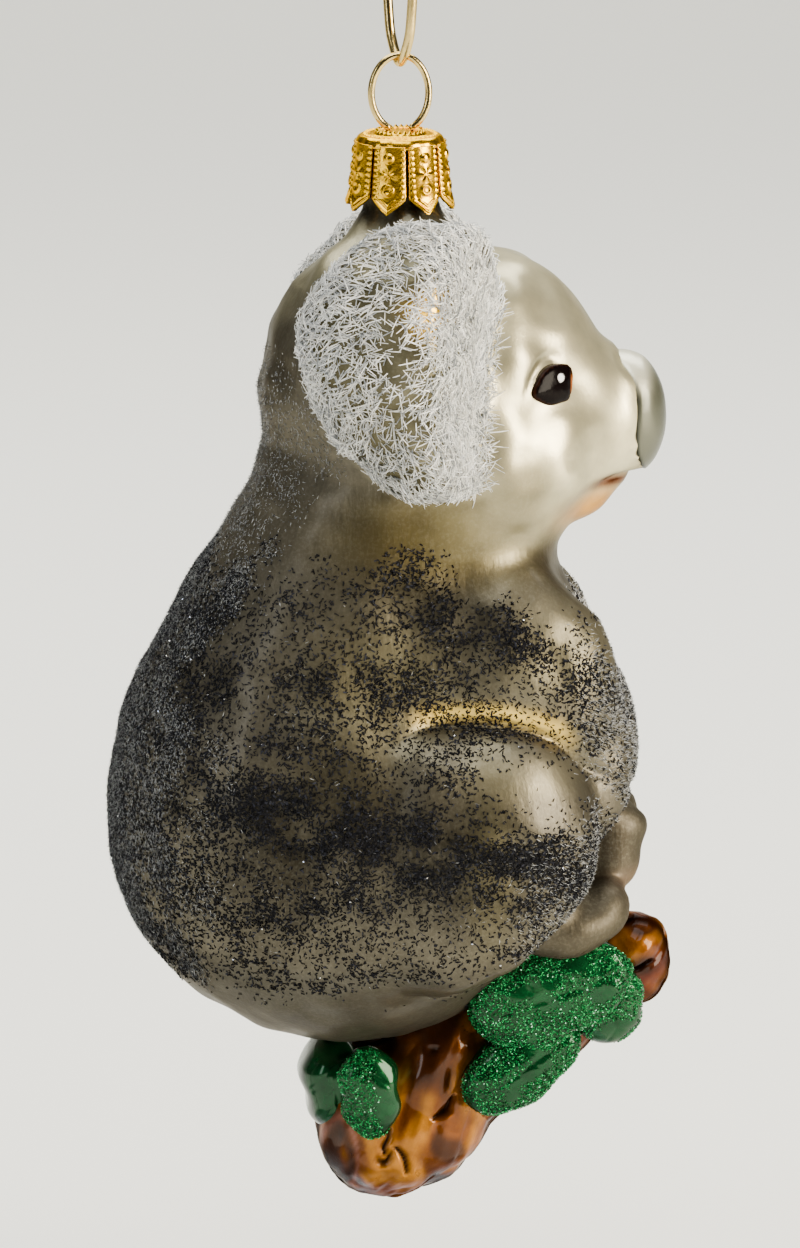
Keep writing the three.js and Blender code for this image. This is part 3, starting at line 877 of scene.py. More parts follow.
def eyePiece(side, s):
    # A low dome over the almond: height falls as the root of 1 - ratio squared.
    columns = eye["columns"]
    ratio = np.sin(np.linspace(0.03, np.pi / 2, eye["rings"]))[:, None]
    angle = (np.arange(columns) / columns * 2 * np.pi)[None]
    radius = eyeEdge(angle) * ratio
    fore = radius * np.cos(angle)
    rise = radius * np.sin(angle)
    height = eye["dome"] * np.sqrt(np.maximum(1 - ratio ** 2, 0)) + 0 * angle - 0.25
    strip = smoothStep(0.12, 0.0, np.abs(fore - 2.05 - 0.06 * rise ** 2))
    height = height - 0.12 * strip
    back = np.full_like(height, -0.9)
    top = np.stack([fore, rise, height], -1)
    under = np.stack([fore, rise, back], -1)[::-1]
    local = np.concatenate([top, under[::4]])
    points, faces = closeGrid(local[::-1])
    basis = np.stack([eyeFore, eyeRise, eyeOut])
    placed = eyeCentre + points @ basis
    if s > 0:
        placed = placed * [1, -1, 1]
        faces = faces[:, ::-1]
    colours = paintEye(points)
    piece = makePiece(f"eye_enamel_{side}", placed + [0, 0, glassFoot], faces, eyeFinish(side),
                      "ornament", [f"eye_{side}"])
    addPaint(piece, "paint", colours)


def paintEye(local):
    # Black, with a dark brown rim, a narrow amber strip in front of a line, and one white spark.
    tone = tonesOf(eyePaint)
    fore, rise, _ = local.T
    ratio = np.hypot(fore, rise) / eyeEdge(np.arctan2(rise, fore))
    colour = np.broadcast_to(tone["ball"], local.shape)
    rim = smoothStep(0.89, 0.95, ratio + 0.03 * np.sin(fore * 9))
    colour = lay(colour, tone["rim"], rim)
    bend = fore - 2.0 - 0.05 * rise ** 2
    strip = smoothStep(0.0, 0.12, bend) * smoothStep(0.62, 0.5, bend)
    strip = strip * smoothStep(1.4, 0.6, np.abs(rise + 0.2))
    colour = lay(colour, tone["strip"], strip)
    gap = bell(bend, 0.12)
    colour = lay(colour, tone["stripGap"], gap)
    place = np.hypot(fore - eyePaint["sparkAt"][0], rise - eyePaint["sparkAt"][1])
    spark = smoothStep(eyePaint["sparkRadius"] + 0.06, eyePaint["sparkRadius"] - 0.06, place)
    return lay(colour, tone["spark"], spark)


def eyeFinish(side):
    # Thick glossy enamel, with hardly any sheen of its own so that the black stays black.
    enamel = Finish(f"eye_enamel_{side}", {"Roughness": 0.16, "Specular IOR Level": 0.05})
    enamel.set("Base Color", enamel.attribute("paint"))
    enamel.bump(enamel.noise(1500, 2), 0.12, 0.0002)
    return enamel.material


for side, s in both.items():
    eyePiece(side, s)
print("eyes are in")


# Branch

branchBalls = {
    "butt": [ball([-3.2, 0, 6.8], [6, 8, 6.8]), ball([2.6, 0, 7.2], [7.8, 7.6, 6], pitch=-35),
             ball([-4.4, 0, 11.6], [5, 6.8, 6])],
    "seat": [ball([3.6, 0, 15.8], [5.6, 7.6, 11], pitch=16)],
    "front": [ball([14, 0, 17.7], [13.8, 6.8, 5.5], pitch=-42)],
    "stub": [ball([26.2, 0, 28], [4.6, 4.8, 4.3], pitch=-30), ball([27.2, 0, 25], [2.8, 3.6, 3])],
}
branch = {
    "butt": {"nodes": ("butt", "seat"), "beside": ("front", "stub"), "grain": (0.28, 0, 1),
             "spine": ((-1.4, 0, 6.6), (4.6, 0, 20.5))},
    "front": {"nodes": ("front", "stub"), "beside": ("butt", "seat"), "grain": (0.74, 0, 0.67),
              "spine": ((9.4, 0, 12.8), (27, 0, 27.4))},
}
bark = {"rows": 165, "columns": 150, "reach": 24, "blend": 3.5, "fillet": 4, "under": 1.1,
        "ridge": 0.17, "facet": 0.34, "grain": 0.05, "crevice": 0.7, "inset": 0.15}
barkPaint = {"amber": "#6d3a06", "gold": "#b8781c", "umber": "#2e1404", "crevice": "#0b0502",
             "red": "#5f1d0a", "rim": "#86574a"}
barkSplits = [((-2.3, 10.9), (-2.1, 6.1)), ((-0.9, 6.9), (0.4, 4.2)), ((3.6, 10), (6, 12.6)),
              ((26, 26.4), (28.6, 27.6))]


def limbDistance(points, limb):
    # The limb's own balls, with a fillet towards the other limbs; those lie under their own glass.
    own, beside = [formDistance(points, [b for node in limb[part] for b in branchBalls[node]], bark["blend"])
                   for part in ("nodes", "beside")]
    return softMin(own, beside + bark["under"], bark["fillet"])


def splitShape(grid, start, end):
    # 1 along a crack from `start` to `end` in the side view, wavering and thinning out to its tips.
    place = grid[..., [0, 2]] + 0.3 * np.stack([ripple(grid, 3, 64), ripple(grid, 3, 65)], -1)
    way = np.subtract(end, start)
    share = np.clip((place - start) @ way / (way @ way), 0, 1)
    away = np.linalg.norm(place - start - share[..., None] * way, axis=-1)
    width = 0.16 + 0.3 * np.sqrt(share * (1 - share))
    return bell(away, width) * smoothStep(-2, -4, grid[..., 1])


def limbPiece(name, limb):
    # The limb's form with the bark's relief on it: long ridges that follow the grain, broken by
    # shallow facets, and sharp crevices where two waves of it meet.
    grid = castSurface(lambda points: limbDistance(points, limb), limb["spine"], bark["rows"],
                       bark["columns"], bark["reach"])
    normals = gridNormals(grid)
    grain = unit(np.array(limb["grain"]))
    squeezed = grid - (grid @ grain)[..., None] * grain * 0.88
    ridges = ripple(squeezed, 4.2, 31)
    facets = np.abs(ripple(grid, 9, 37))
    split = np.abs(ripple(squeezed, 7, 43))
    crevice = smoothStep(0.07, 0.0, split) * smoothStep(0.1, 0.7, ripple(grid, 9, 47))
    for start, end in barkSplits:
        crevice = np.maximum(crevice, splitShape(grid, start, end))
    height = bark["ridge"] * ridges + bark["facet"] * facets - bark["crevice"] * crevice
    height += bark["grain"] * ripple(squeezed, 1.6, 32) - bark["inset"]
    surface = grid + normals * height[..., None]
    points, faces = closeGrid(surface + [0, 0, glassFoot])
    piece = makePiece(f"branch_{name}_glass", points, faces, barkFinish, "ornament",
                      [f"branch_{node}" for node in limb["nodes"]])
    colour, gloss = paintBark(grid, ridges, crevice)
    addPaint(piece, "paint", onPoles(colour))
    addValue(piece, "gloss", onPoles(gloss))


def paintBark(grid, ridges, crevice):
    # Amber lacquer, golden on the ridges and umber between them, black in the crevices and along the
    # mould's seam under the branch.
    tone = tonesOf(barkPaint)
    x, y, z = np.moveaxis(grid, -1, 0)
    streaks = ridges + 0.6 * ripple(grid * [1, 1, 0.5], 2.2, 33)
    scar = np.hypot((x + 7.2) / 1.0, (z - 5.4) / 3.0)
    knot = np.hypot((x - 27.6) / 1.3, (z - 31.2) / 0.7)
    # painted shade in the hollow under the stub's end
    hollowShade = ((x - 27.4) / 2) ** 2 + ((z - 27) / 1.3) ** 2
    shadow = ((x - 3.6 - 0.25 * (z - 18)) / 2.6) ** 2 + ((z - 18.4) / 6) ** 2
    lower = smoothStep(3, 0.5, z) + smoothStep(1.5, 4, x - 0.9 * z - 1) * smoothStep(0, -5, y)
    seam = bell(y + 2, 1.5 + 0.5 * ripple(grid, 2, 59))
    colour = lay(tone["amber"], tone["gold"], smoothStep(-0.2, 1.2, streaks) * 0.85)
    for name, share in (
        ("umber", smoothStep(-0.1, -0.9, ridges + 0.5 * ripple(grid, 6, 53)) * 0.85),
        ("umber", np.exp(-shadow ** 1.5) * 0.95),
        ("umber", bell(scar - 1.1, 0.45) * 0.9),
        ("rim", bell(scar - 1.75, 0.2) * smoothStep(-2, -5, x) * 0.8),
        ("red", np.clip(lower, 0, 1) * 0.6),
        ("crevice", seam * 0.9),
        ("umber", bell(knot - 0.9, 0.35) * 0.8),
        ("crevice", np.exp(-hollowShade ** 2) * 0.8),
        ("crevice", crevice),
    ):
        colour = lay(colour, tone[name], share)
    return colour, 1 - np.clip(seam + crevice, 0, 1)


def makeBarkFinish():
    # Lacquer over silvered glass, streaked with a darker wash; where the gloss attribute falls, in the
    # crevices and along the seam, it is dull and without the clear coat.
    lacquer = Finish("bark_lacquer", {"Coat Roughness": 0.06, "Specular Tint": linear("#8a6a4a")})
    streaks = lacquer.noise(420, 4, 0.65)
    shade = lacquer.mix(lacquer.band(streaks, 0.35, 0.75) * 0.5, lacquer.attribute("paint"),
                        linear("#5e3312"), "MULTIPLY")
    lacquer.set("Base Color", shade)
    gloss = lacquer.attribute("gloss", "Fac")
    lacquer.set("Metallic", 1 - gloss * 0.45)
    lacquer.set("Roughness", lacquer.band(streaks, 0.2, 0.8) * 0.16 + 0.84 - gloss * 0.6)
    lacquer.set("Coat Weight", gloss * 0.35)
    lacquer.bump(streaks, 0.25, 0.0005)
    return lacquer.material


barkFinish = makeBarkFinish()
for name, limb in branch.items():
    limbPiece(name, limb)
print("branch is in")


# Leaves

leaves = {"rows": 70, "columns": 92, "vein": 0.13, "edgeWave": 0.14, "lumps": 0.16}
leafPlaces = {
    "top": {"at": (16.4, 8.2, 25.2), "size": (9.7, 3.2, 5.6), "pitch": -18},
    "front": {"at": (22.5, 6.4, 23.7), "size": (5.2, 3.2, 4.6), "pitch": 64},
    "low": {"at": (13.2, 7.2, 16.5), "size": (7.7, 3, 4.1), "pitch": -34},
    "rear": {"at": (-4, 7, 13.4), "size": (5.4, 2.6, 3.4), "pitch": 84},
    "tail": {"at": (-7.6, 0, 13), "size": (5.7, 6, 3.7), "pitch": 84},
}


def leafSurface(size, seed):
    # A thick leaf in its own frame: along x its half width rises fast behind and falls slowly to a
    # point in front; across, its section is a lens. The midrib and the side veins are grooves that
    # fade towards the edge, which waves a little.
    along = -np.cos(np.linspace(0.04, np.pi - 0.04, leaves["rows"]))[:, None]
    angle = (np.arange(leaves["columns"]) / leaves["columns"] * 2 * np.pi)[None]
    half = (1 - np.abs(along) ** 2.8) ** 0.62 * (1 - 0.1 * along)
    across = np.cos(angle)
    side = np.sin(angle)
    wave = 1 + leaves["edgeWave"] * 0.5 * np.sin(along * 7 + seed) * np.abs(across) ** 3
    z = size[2] * half * across * wave
    thick = np.abs(side) ** 0.62 * np.sign(side) * half ** 0.7
    rib = bell(across, 0.07) * smoothStep(1.0, 0.7, np.abs(along))
    veinPhase = along * size[0] / 2.1 - np.abs(across) * half * 1.5
    veins = bell(np.mod(veinPhase, 1) - 0.5, 0.11) * smoothStep(0.98, 0.6, np.abs(across))
    groove = (rib + 0.45 * veins) * leaves["vein"]
    y = size[1] * thick - groove * np.sign(side)
    x = size[0] * along + 0 * angle
    sheet = np.stack(np.broadcast_arrays(x, y, z), -1)
    sheet[..., 1] += leaves["lumps"] * ripple(sheet, 5, 61) * np.sign(side)
    return sheet


def makeLeafFinish():
    # Deep green lacquer over silvered glass, in two tones that drift into each other.
    leaf = Finish("leaf_lacquer", {"Coat Roughness": 0.05, "Specular Tint": linear("#3f7a55")})
    cloud = leaf.noise(260, 3)
    tone = leaf.mix(leaf.band(cloud, 0.3, 0.75), linear("#052b13"), linear("#0d4a24"))
    leaf.set("Base Color", tone)
    leaf.set("Metallic", 0.45)
    leaf.set("Roughness", leaf.band(cloud, 0.2, 0.8) * 0.1 + 0.18)
    leaf.set("Coat Weight", 0.4)
    leaf.bump(leaf.noise(700, 3), 0.15, 0.0004)
    return leaf.material


leafFinish = makeLeafFinish()
leafGrids = []
for name, place in leafPlaces.items():
    for side, s in both.items():
        if name == "tail" and s > 0:
            continue
        x, y, z = place["at"]
        turn = ball((0, 0, 0), (1, 1, 1), pitch=place["pitch"])["turn"]
        grid = leafSurface(place["size"], y + 2 * x) @ turn.T + [x, s * y, z]
        points, faces = closeGrid(grid[:, ::-1] + [0, 0, glassFoot])
        node = "leaf_tail" if name == "tail" else f"leaf_{name}_{side}"
        makePiece(f"{node}_glass", points, faces, leafFinish, "ornament", [node])
        leafGrids.append((name, s, grid[:, ::-1]))
print("leaves are in")


# Crown cap

crown = {
    "top": 122.4,  # above the glass
    "height": 9,
    "tilt": 3.5,  # degrees towards the right side
    "petals": 8,
    "shoulderRadius": 4.95,
    "hemRadius": 5.75,
    "sheet": 0.3,
    "shoulder": 1.5,  # from the top to where the petals start
    "petalHalf": 2.05,
    "slit": 0.34,
    "turn": 4.5,  # degrees about its own axis
    "tip": 1.7,
    "rows": 86,
    "columns": 33,
    "around": 240,  # columns of the top
    "flatRadius": 4.2,
    "bend": 0.78,
}


def tiltCap(points):
    turn = math.radians(crown["tilt"])
    middle = np.array([0, 0, crown["top"] - crown["height"] / 2])
    x, y, z = np.moveaxis(points - middle, -1, 0)
    turned = np.stack([x, y * math.cos(turn) - z * math.sin(turn),
                       y * math.sin(turn) + z * math.cos(turn)], -1)
    return turned + middle + [0, 0, glassFoot]


def petalRelief(across, down, edge):
    # The pressing on one petal, in mm outwards: a crowned face, a row of beads down each rim, a round
    # pearl, a four-lobed star, a ring, and two lines that follow the pointed tip.
    crowned = 0.2 * (1 - (across / crown["petalHalf"]) ** 2)
    rims = bell(np.abs(across) - crown["petalHalf"] + 0.5, 0.16)
    beads = rims * (0.5 + 0.5 * np.cos(2 * np.pi * down / 0.62))
    pearl = np.sqrt(np.maximum(0, 1 - (np.hypot(across, down - 1.25) / 0.55) ** 2))
    angle = np.arctan2(down - 3.1, across)
    star = bell(np.hypot(across, down - 3.1), 0.72) * (0.45 + 0.55 * np.cos(4 * angle))
    ring = bell(np.hypot(across, down - 4.75) - 0.48, 0.15)
    low = smoothStep(crown["height"] - crown["shoulder"] - crown["tip"] - 0.7,
                     crown["height"] - crown["shoulder"] - crown["tip"] + 0.2, down)
    lines = (bell(edge - 0.28, 0.11) + 0.8 * bell(edge - 0.75, 0.11)) * low
    upper = 1 - low
    return crowned + 0.2 * beads * upper + 0.28 * pearl + 0.26 * star + 0.2 * ring + 0.18 * lines


def petal(middleAngle):
    # Down the petal its radius grows evenly from the shoulder to the hem; near the hem its sides close
    # in to a point.
    length = crown["height"] - crown["shoulder"]
    down = np.linspace(0, length, crown["rows"])[:, None]
    share = np.linspace(-1, 1, crown["columns"])[None]
    toTip = (length - down) / crown["tip"]
    radius = blendTo(crown["shoulderRadius"], crown["hemRadius"], down / length)
    whole = radius * math.pi / crown["petals"] - crown["slit"] / 2
    half = whole * np.clip(toTip, 0.02, 1)
    across = share * half
    edge = half - np.abs(across) + 0 * down
    edge = np.where(toTip < 1, edge * 0.66, edge + (toTip - 1))
    lip = 0.25 * smoothStep(length - 1.5, length, down)
    outer = radius + lip + petalRelief(across, down, edge)
    angle = middleAngle + across / radius
    height = crown["top"] - crown["shoulder"] - down + 0 * across

    def wall(distance):
        return np.stack([distance * np.cos(angle), distance * np.sin(angle), height], -1)

    inner = wall(radius + lip - crown["sheet"] + 0.12 * (1 - share ** 2))
    return closeSheet(wall(outer)[:, ::-1], inner[:, ::-1])


def capTop():
    # The top as a profile turned about its axis: a raised boss with a roped rim, a step, and a rounded
    # shoulder that runs into the petals; then back along its inner side.
    angle = (np.arange(crown["around"]) / crown["around"] * 2 * np.pi)[None]
    flat = np.linspace(0.05, crown["flatRadius"], 60)
    bend = np.linspace(0, np.pi / 2, 14)
    radius = np.concatenate([flat, crown["flatRadius"] + crown["bend"] * np.sin(bend)])[:, None]
    drop = np.concatenate([0 * flat, 1 - np.cos(bend)])
    boss = 0.3 * smoothStep(3.0, 2.75, radius)
    rope = 0.34 * bell(radius - 2.5, 0.24) * (0.5 + 0.5 * np.cos(26 * angle + radius * 5))
    step = 0.14 * bell(radius - 3.35, 0.12)
    dots = 0.2 * bell(radius - 3.9, 0.2) * (0.5 + 0.5 * np.cos(40 * angle))
    fold = -0.14 * smoothStep(3.9, 4.8, radius) * (0.5 - 0.5 * np.cos(crown["petals"] * angle)) ** 3
    height = crown["top"] - 0.75 + boss + rope + step + dots - 1.05 * drop[:, None]
    reach = radius + fold
    outer = np.stack([reach * np.cos(angle), reach * np.sin(angle), height], -1)
    inner = np.stack([(radius - 0.25) * np.cos(angle), (radius - 0.25) * np.sin(angle),
                      crown["top"] - 1.1 - 0.9 * drop[:, None] + 0 * angle], -1)[4::3]
    return closeGrid(np.concatenate([inner, outer[::-1]]))


def makeBrass(name, colour, dark, tint, roughness):
    # Polished brass: thin tarnish gathers in clouds, and fine scratches break the gloss.
    brass = Finish(name, {"Metallic": 1.0, "Specular Tint": linear(tint)})
    tarnish = brass.band(brass.noise(520, 4, 0.6), 0.45, 0.8)
    brass.set("Base Color", brass.mix(tarnish * 0.55, linear(colour), linear(dark)))
    brass.set("Roughness", tarnish * 0.16 + roughness)
    brass.bump(brass.noise(3800, 2, 0.6), 0.12, 0.0002)
    return brass.material


capBrass = makeBrass("cap_brass", "#ecb61b", "#966a09", "#f1d45a", 0.2)
wireBrass = makeBrass("wire_brass", "#d9bf7c", "#8a7340", "#f4dca0", 0.14)
petals = [petal(math.radians(crown["turn"] + (i + 0.5) * 360 / crown["petals"]))
          for i in range(crown["petals"])]
points, faces = joinShapes(petals)
makePiece("cap_petals", tiltCap(points), faces, capBrass, "ornament", ["cap"])
points, faces = capTop()
makePiece("cap_top", tiltCap(points), faces, capBrass, "ornament")
print("cap is in")


# Ring, hook and stand

def sweep(path, across, radii, sides):
    # A round section carried along a flat path; `across` stands square to the path's plane.
    along = unit(np.gradient(path, axis=0))
    other = np.cross(along, across)
    angle = np.arange(sides) / sides * 2 * np.pi
    offset = (other[:, None] * np.cos(angle)[:, None] + np.array(across) * np.sin(angle)[:, None])
    return closeGrid(path[:, None] + offset * np.broadcast_to(radii, len(path))[:, None, None])


def smoothPath(knots, count):
    # A centripetal Catmull-Rom curve through the knots.
    knots = np.array(knots, float)
    knots = np.concatenate([[2 * knots[0] - knots[1]], knots, [2 * knots[-1] - knots[-2]]])
    times = np.concatenate([[0], np.cumsum(np.linalg.norm(np.diff(knots, axis=0), axis=1) ** 0.5)])
    place = np.linspace(times[1], times[-2], count)
    first = np.clip(np.searchsorted(times, place, "right") - 2, 0, len(knots) - 4)
    p = [knots[first + i] for i in range(4)]
    t = [times[first + i] for i in range(4)]

    def between(a, b, start, end):
        share = ((place - start) / (end - start))[:, None]
        return a + (b - a) * share

    lower = [between(p[i], p[i + 1], t[i], t[i + 1]) for i in range(3)]
    middle = [between(lower[i], lower[i + 1], t[i], t[i + 2]) for i in range(2)]
    return between(middle[0], middle[1], t[1], t[2])


def roundEnds(radius, count, taper=5):  # a wire's radius along its length, its two ends rounded off
    radii = np.full(count, float(radius))
    ease = np.sin(np.linspace(0.15, np.pi / 2, taper))
    radii[:taper] *= ease
    radii[-taper:] *= ease[::-1]
    return radii


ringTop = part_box("ring")[1].z / mm
ring = {"wire": 0.8, "width": 6.4, "height": 8.4, "ends": 0.3}
hook = {"wire": 1.1, "reach": 3, "drop": 17, "turn": 24, "crook": 2.65}


def ringPiece():
    # An upright oval of wire whose ends dip into the cap.
    middle = ringTop - ring["wire"] / 2 - ring["height"] / 2
    angle = np.linspace(ring["ends"], 2 * np.pi - ring["ends"], 160) - np.pi / 2
    path = np.stack([np.cos(angle) * ring["width"] / 2, 0.12 * np.sin(2 * angle),
                     middle + np.sin(angle) * ring["height"] / 2], -1)
    points, faces = sweep(path, (0, 1, 0), roundEnds(ring["wire"] / 2, len(path)), 20)
    makePiece("ring_wire", points, faces, wireBrass, "ornament", ["ring"])


def hookPiece():
    # A narrow open bend below and an open crook above, as on the solid.
    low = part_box("hook")[0].z / mm + hook["wire"] / 2
    bend = [(hook["reach"] * math.sqrt(1 - (1 - u) ** 2), 10.4 * u) for u in (0.93, 0.8, 0.55, 0.25)]
    crook = [(hook["crook"] * math.cos(math.radians(a - 20)),
              hook["drop"] + hook["crook"] * math.sin(math.radians(a - 20)))
             for a in (10, 60, 110, 160, 205)]
    outline = [*bend, (0, 0), *[(-s, z) for s, z in bend[:0:-1]], (-2.8, 9.4), (-0.6, 12.2), *crook]
    turn = math.radians(hook["turn"])
    knots = [(s * math.sin(turn), -s * math.cos(turn), low + z) for s, z in outline]
    path = smoothPath(knots, 260)
    across = (math.cos(turn), math.sin(turn), 0)
    points, faces = sweep(path, across, roundEnds(hook["wire"] / 2, len(path)), 20)
    makePiece("hook_wire", points, faces, wireBrass, "hook", ["hook"])


stand = {"rod": 3, "bend": 12, "edge": 0.8, "knob": 2.6}


def standFinish():
    # Brushed steel under a thin clear coat, clouded a little.
    paint = Finish("stand_steel", {"Metallic": 0.85, "Coat Weight": 0.2, "Coat Roughness": 0.2})
    cloud = paint.noise(160, 4)
    paint.set("Base Color", paint.mix(cloud * 0.4, linear("#b4b7bb"), linear("#8f9296")))
    paint.set("Roughness", paint.band(cloud, 0.2, 0.8) * 0.1 + 0.3)
    paint.bump(paint.noise(1800, 2), 0.1, 0.0003)
    return paint.material


def standPieces():
    finish = standFinish()
    baseLow, baseHigh = [np.array(corner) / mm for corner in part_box("stand_base")]
    x, z, knobX = [sum(corner[axis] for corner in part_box(node)) / 2 / mm
                   for node, axis in (("stand_post", 0), ("stand_arm", 2), ("stand_knob", 0))]
    angle = np.linspace(np.pi, np.pi / 2, 40)
    corner = np.stack([x + stand["bend"] * (1 + np.cos(angle)), 0 * angle,
                       z - stand["bend"] * (1 - np.sin(angle))], -1)
    up = np.linspace(baseHigh[2] - 0.2, corner[0, 2] - 0.5, 30)
    out = np.linspace(corner[-1, 0] + 0.5, knobX, 24)
    path = np.concatenate([np.stack([x + 0 * up, 0 * up, up], -1), corner,
                           np.stack([out, 0 * out, z + 0 * out], -1)])
    points, faces = sweep(path, (0, 1, 0), stand["rod"] / 2, 32)
    makePiece("stand_rod", points, faces, finish, "stand",
              ["stand_post", "stand_bend", "stand_arm"])

    # The base: a plate with round ends whose edges are turned over a quarter round.
    columns = 160
    around = (np.arange(columns) + 0.5) / columns * 2 * np.pi
    half = (baseHigh[1] - baseLow[1]) / 2
    middle = (baseHigh[0] + baseLow[0]) / 2
    shift = (baseHigh[0] - baseLow[0]) / 2 - half
    turn = np.linspace(0, np.pi / 2, 7)
    inset = stand["edge"] * (1 - np.sin(turn))
    low = stand["edge"] * (1 - np.cos(turn))
    insets = np.concatenate([[half * 0.6], inset, inset[::-1], [half * 0.6]])
    heights = np.concatenate([[0], low, baseHigh[2] - low[::-1], [baseHigh[2]]])
    reach = (half - insets)[:, None]
    rings = np.stack(np.broadcast_arrays(middle + shift * np.sign(np.cos(around)) + reach * np.cos(around),
                                         reach * np.sin(around), heights[:, None]), -1)
    points, faces = closeGrid(rings)
    makePiece("stand_plate", points, faces, finish, "stand", ["stand_base"])

    # The knob: a ball with a flat groove round its neck.
    lift = np.linspace(-np.pi / 2 + 0.05, np.pi / 2 - 0.05, 28)
    size = stand["knob"] * (1 - 0.06 * bell(lift + 0.9, 0.15))
    level = np.arange(48) / 48 * 2 * np.pi
    globe = np.stack(np.broadcast_arrays(
        knobX + (size * np.sin(lift))[:, None],
        (size * np.cos(lift))[:, None] * np.cos(level),
        z + (size * np.cos(lift))[:, None] * np.sin(level)), -1)
    points, faces = closeGrid(globe)
    makePiece("stand_knob_ball", points, faces, finish, "stand", ["stand_knob"])


ringPiece()
hookPiece()
standPieces()
print("ring, hook and stand are in")


# Flock and glitter

def scatter(grid, normals, weight, count, random):
    # `count` places on a grid, as likely in each cell as its area times `weight`. Gives each place's
    # point, its normal, the way around, and its two parameters.
    corners = [grid[:-1], np.roll(grid, -1, 1)[:-1], grid[1:]]
    area = np.linalg.norm(np.cross(corners[1] - corners[0], corners[2] - corners[0]), axis=-1)
    odds = (area * weight[:-1]).ravel()
    cells = random.choice(len(odds), count, p=odds / odds.sum())
    rows, columns = grid.shape[:2]
    i, j = np.divmod(cells, columns)
    a, b = random.uniform(0, 1, (2, count, 1))
    right = (j + 1) % columns

    def between(values):
        low = blendTo(values[i, j], values[i, right], b)
        return blendTo(low, blendTo(values[i + 1, j], values[i + 1, right], b), a)

    spots = np.concatenate([(j[:, None] + b) / columns, (i[:, None] + a) / rows], -1)
    around = unit(grid[i, right] - grid[i, j])
    return between(grid), unit(between(normals)), around, spots


def spikes(lines, widths):
    # Closed three-sided points: a small triangle at the first end of each line, drawn out to its last.
    along = unit(lines[:, -1] - lines[:, 0])
    helper = np.where(np.abs(along[:, 2:]) < 0.9, [[0, 0, 1.0]], [[1.0, 0, 0]])
    first = unit(np.cross(along, helper))
    second = np.cross(along, first)
    angle = np.arange(3) / 3 * 2 * np.pi
    shape = first[:, None] * np.cos(angle)[:, None] + second[:, None] * np.sin(angle)[:, None]
    points = np.concatenate([lines[:, :1] + shape * widths[:, :1, None], lines[:, -1:]], 1)
    faces = np.array([[0, 2, 1], [0, 1, 3], [1, 2, 3], [2, 0, 3]])
    faces = (faces[None] + np.arange(len(lines))[:, None, None] * 4).reshape(-1, 3)
    return points.reshape(-1, 3), faces


def strands(lines, widths, flat, sides=3):
    # Closed prisms along short lines: `lines` is (strands, rings, 3), `widths` (strands, rings), and
    # `flat` how much thinner they are across than along.
    count, rings = lines.shape[:2]
    along = unit(lines[:, -1] - lines[:, 0])
    helper = np.where(np.abs(along[:, 2:]) < 0.9, [[0, 0, 1.0]], [[1.0, 0, 0]])
    first = unit(np.cross(along, helper))
    second = np.cross(along, first) * flat
    angle = np.arange(sides) / sides * 2 * np.pi
    shape = first[:, None] * np.cos(angle)[:, None] + second[:, None] * np.sin(angle)[:, None]
    points = lines[:, :, None] + shape[:, None] * widths[:, :, None, None]
    faces = gridFaces(rings, sides)
    fan = np.arange(1, sides - 1)
    start = np.stack([0 * fan, fan + 1, fan], -1)
    end = np.stack([0 * fan, fan, fan + 1], -1) + (rings - 1) * sides
    faces = np.concatenate([faces, start, end])
    each = rings * sides
    faces = (faces[None] + np.arange(count)[:, None, None] * each).reshape(-1, 3)
    return points.reshape(-1, 3), faces


def patchMap(spots, rings, sides, size=0.003):
    # Each strand's patch on the skin's unwrap: a small rectangle about its root's place.
    u = (np.arange(sides) / max(sides - 1, 1) - 0.5) * size
    v = (np.arange(rings) / (rings - 1) - 0.5) * size
    patch = np.stack(np.broadcast_arrays(u[None, :], v[:, None]), -1).reshape(1, -1, 2)
    return np.clip(spots[:, None] + patch, 0, 1).reshape(-1, 2)


# The coat is real mesh: prisms with `sides` sides, or points where `sides` is 0, each with its own
# patch in the OFBake map.
def coatPiece(name, lines, widths, flat, sides, spots, colours, finish):
    if sides:
        points, faces = strands(lines, widths, flat, sides)
        patch = patchMap(spots, lines.shape[1], sides)
    else:
        points, faces = spikes(lines, widths)
        patch = patchMap(spots, 2, 2)
    piece = makePiece(name, points + [0, 0, glassFoot], faces, finish, "ornament", smooth=False)
    addPaint(piece, "paint", np.repeat(colours, len(points) // len(lines), axis=0))
    addMap(piece, "OFBake", patch, faces)
    print(name, len(faces), "triangles")


def coatFinish(name, roughness, specular=0.5, metallic=0.0):
    coat = Finish(name, {"Roughness": roughness, "Specular IOR Level": specular, "Metallic": metallic})
    coat.set("Base Color", coat.attribute("paint"))
    return coat.material


def mixColours(codes, shares, count, random):  # each strand takes one of several colours
    tones = np.array([linear(code)[:3] for code in codes])
    return tones[random.choice(len(codes), count, p=shares)]


def layLines(roots, normals, ways, lengths, rise, rings, sink=0.05, bow=0.0):
    # Short lines that leave the root along `ways`, lifted by `rise`, with a bow in their middle.
    share = np.linspace(0, 1, rings)[None, :, None]
    lifted = unit(ways + normals * rise[:, None])
    middle = normals[:, None] * (bow * lengths)[:, None, None] * (4 * share * (1 - share))
    starts = roots[:, None] - normals[:, None] * sink
    return starts + lifted[:, None] * lengths[:, None, None] * share + middle


def turnAbout(ways, normals, angles):  # `ways` turned in the surface by `angles`
    other = np.cross(normals, ways)
    return ways * np.cos(angles)[:, None] + other * np.sin(angles)[:, None]


